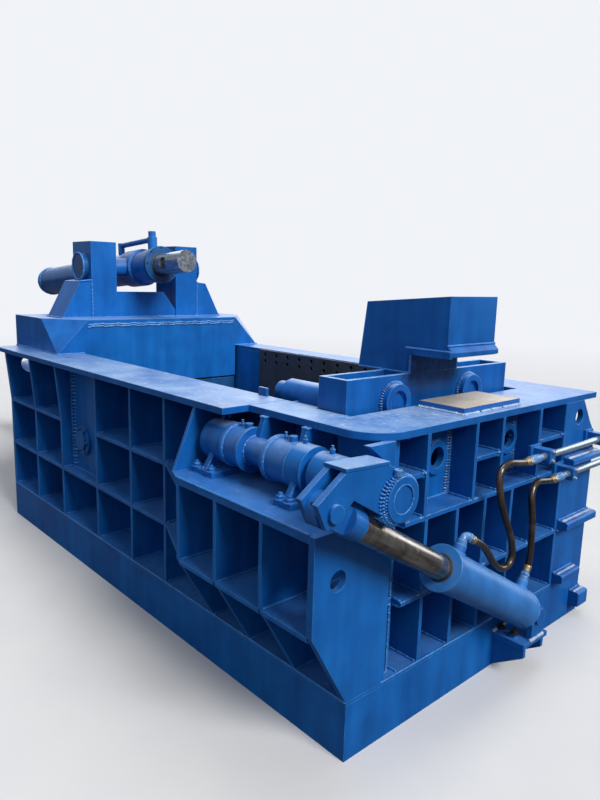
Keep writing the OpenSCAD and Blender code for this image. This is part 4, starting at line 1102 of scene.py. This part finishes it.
def lineFeet(lines, ahead):
    # a foot on each oil line, so far past its hose
    return [((lines["x"], line[0] + ahead, line[1]), alongWall) for line in lines["lines"]]


def pipeProfile(lines, length):
    rim, cut = lines["pipe"] - lines["chamfer"], lines["chamfer"]
    return [(rim, 0), (lines["pipe"], cut), (lines["pipe"], length - cut), (rim, length)]


lineNuts = turned("lineNuts", lineFeet(oilLines, 0), lineNut, bare["zinc"], "frame", sides=6)
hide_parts("supply_pipes")
turned("lineSockets", lineFeet(oilLines, oilLines["socket"]), lineSocket, fittingAndSheen,
       "frame", sides=32)
for i, foot in enumerate(lineFeet(oilLines, oilLines["start"])):
    length = oilLines["lines"][i][2] - foot[0][1]
    turned("oilLine%d" % (i + 1), [foot], pipeProfile(oilLines, length), bare["pipeSteel"],
           "frame", sides=32)
print("ports and oil lines made")


def bevelledBlock(name, low, high, chamfer, body, paint):
    # a block between two drawing points with every upright and top edge cut back
    x0, y0, z0 = low
    x1, y1, z1 = high
    points = []
    for inset, z in ((0, z0), (0, z1 - chamfer), (chamfer, z1)):
        a, b, d, e = x0 + inset, x1 - inset, y0 + inset, y1 - inset
        near = [(a + chamfer, d), (b - chamfer, d), (b, d + chamfer), (b, e - chamfer)]
        far = [(b - chamfer, e), (a + chamfer, e), (a, e - chamfer), (a, d + chamfer)]
        points += [spot(x, y, z) for x, y in near + far]
    faces = [(i * 8 + k, i * 8 + (k + 1) % 8, (i + 1) * 8 + (k + 1) % 8, (i + 1) * 8 + k)
             for i in (0, 1) for k in range(8)]
    faces.append(tuple(range(7, -1, -1)))
    faces.append(tuple(range(16, 24)))
    return keep(addSolid(name, points, faces, paint), body)


bevelledBlock("flangeTab", (-784, 255, 1058), (-731, 267, 1093), 1.5, "frame", blue)


# windows are a direction, where their glare starts and is full, and its strength
studio = {"backdrop": (0.93, 0.95, 1.0, 1), "seen": 0.94, "glossy": 0.42, "diffuse": 0.24,
          "dark": (0.10, 0.105, 0.12, 1), "near": 5.0, "far": 15.0,
          "windows": (((-0.74, 0.60, 0.30), 0.72, 0.90, 0.75), ((0.85, -0.15, 0.50), 0.86, 0.94, 0.75),
                      ((0.12, 0.95, 0.25), 0.950, 0.985, 3.2))}


def addFloor(values):
    # pale where it is seen, and darker in the light that it throws back
    mesh = bpy.data.meshes.new("studioFloor")
    mesh.from_pydata([(-60, -60, 0), (60, -60, 0), (60, 60, 0), (-60, 60, 0)], [], [(0, 1, 2, 3)])
    material, start, place = startMaterial("studioFloor")
    grain = noise(place, 3.0, 3.0)
    pale = mixColour(grain.between(0.2, 0.8), (0.66, 0.67, 0.69, 1), (0.70, 0.71, 0.72, 1))
    seen = start.make("ShaderNodeLightPath", {}, {}, "Is Camera Ray")
    ground = start.make("ShaderNodeBsdfPrincipled", {}, {
        "Base Color": mixColour(seen, values["dark"], pale), "Roughness": 0.85, "Specular IOR Level": 0.2,
    }, "BSDF")
    glow = start.make("ShaderNodeEmission", {}, {
        "Color": values["backdrop"], "Strength": seen * values["seen"]})
    out = place.make("ShaderNodeVectorMath", {"operation": "LENGTH"}, {0: place}, "Value")
    away = out.between(values["near"], values["far"])
    joined = start.make("ShaderNodeMixShader", {}, {0: away, 1: ground, 2: glow})
    start.make("ShaderNodeOutputMaterial", {}, {"Surface": joined})
    mesh.materials.append(material)
    addObject("studioFloor", mesh)


def addWorld(values):
    # a pale backdrop, mirrored in metal and gloss, with bright windows
    world = bpy.data.worlds.new("studio")
    world.use_nodes = True
    world.node_tree.nodes.clear()
    start = Wire(world.node_tree)
    rays = start.make("ShaderNodeLightPath", {}, {}, "Is Camera Ray")
    glossy = rays.also("Is Glossy Ray")
    way = start.make("ShaderNodeTexCoord", {}, {}, "Generated")
    lift = axisOf(way, "Z")
    mirrored = values["glossy"]
    for towards, low, high, glare in values["windows"]:
        mirrored = dot(way, Vector(towards).normalized()).between(low, high) * glare + mirrored
    soft = values["diffuse"] * (0.55 + lift.between(-0.1, 0.9) * 0.9)
    strength = rays * values["seen"] + (1 - rays) * (glossy * mirrored + (1 - glossy) * soft)
    sky = start.make("ShaderNodeBackground", {}, {"Color": values["backdrop"], "Strength": strength})
    start.make("ShaderNodeOutputWorld", {}, {"Surface": sky})
    bpy.context.scene.world = world


def addSun(name, towards, strength, angle, colour):
    data = bpy.data.lights.new(name, "SUN")
    data.energy = strength
    data.angle = math.radians(angle)
    data.color = colour
    lamp = bpy.data.objects.new(name, data)
    lamp.rotation_euler = Vector(towards).to_track_quat("Z", "Y").to_euler()
    bpy.context.scene.collection.objects.link(lamp)


def addSoftbox(values):
    data = bpy.data.lights.new("softbox", "AREA")
    data.energy = values["power"]
    data.size = values["size"]
    data.color = values["colour"]
    lamp = bpy.data.objects.new("softbox", data)
    place = Vector(values["place"])
    lamp.location = place
    lamp.rotation_euler = (place - Vector(values["aim"])).to_track_quat("Z", "Y").to_euler()
    lamp.visible_camera = False
    bpy.context.scene.collection.objects.link(lamp)


addFloor(studio)
addWorld(studio)
addSun("windowLight", (0.88, 0.02, 0.76), 2.95, 24, (1.0, 0.98, 0.95))
addSoftbox({"place": (1.2, 0.2, 3.3), "aim": (-1.0, 0.0, 1.2), "size": 1.8, "power": 42,
            "colour": (1.0, 0.99, 0.97)})
addSun("frontFill", (0.10, -0.8, 0.60), 0.45, 60, (0.92, 0.96, 1.0))
addSun("backFill", (-0.7, 0.6, 0.45), 0.8, 60, (0.95, 0.97, 1.0))
bpy.context.scene.view_settings.view_transform = "Standard"
print("studio set")
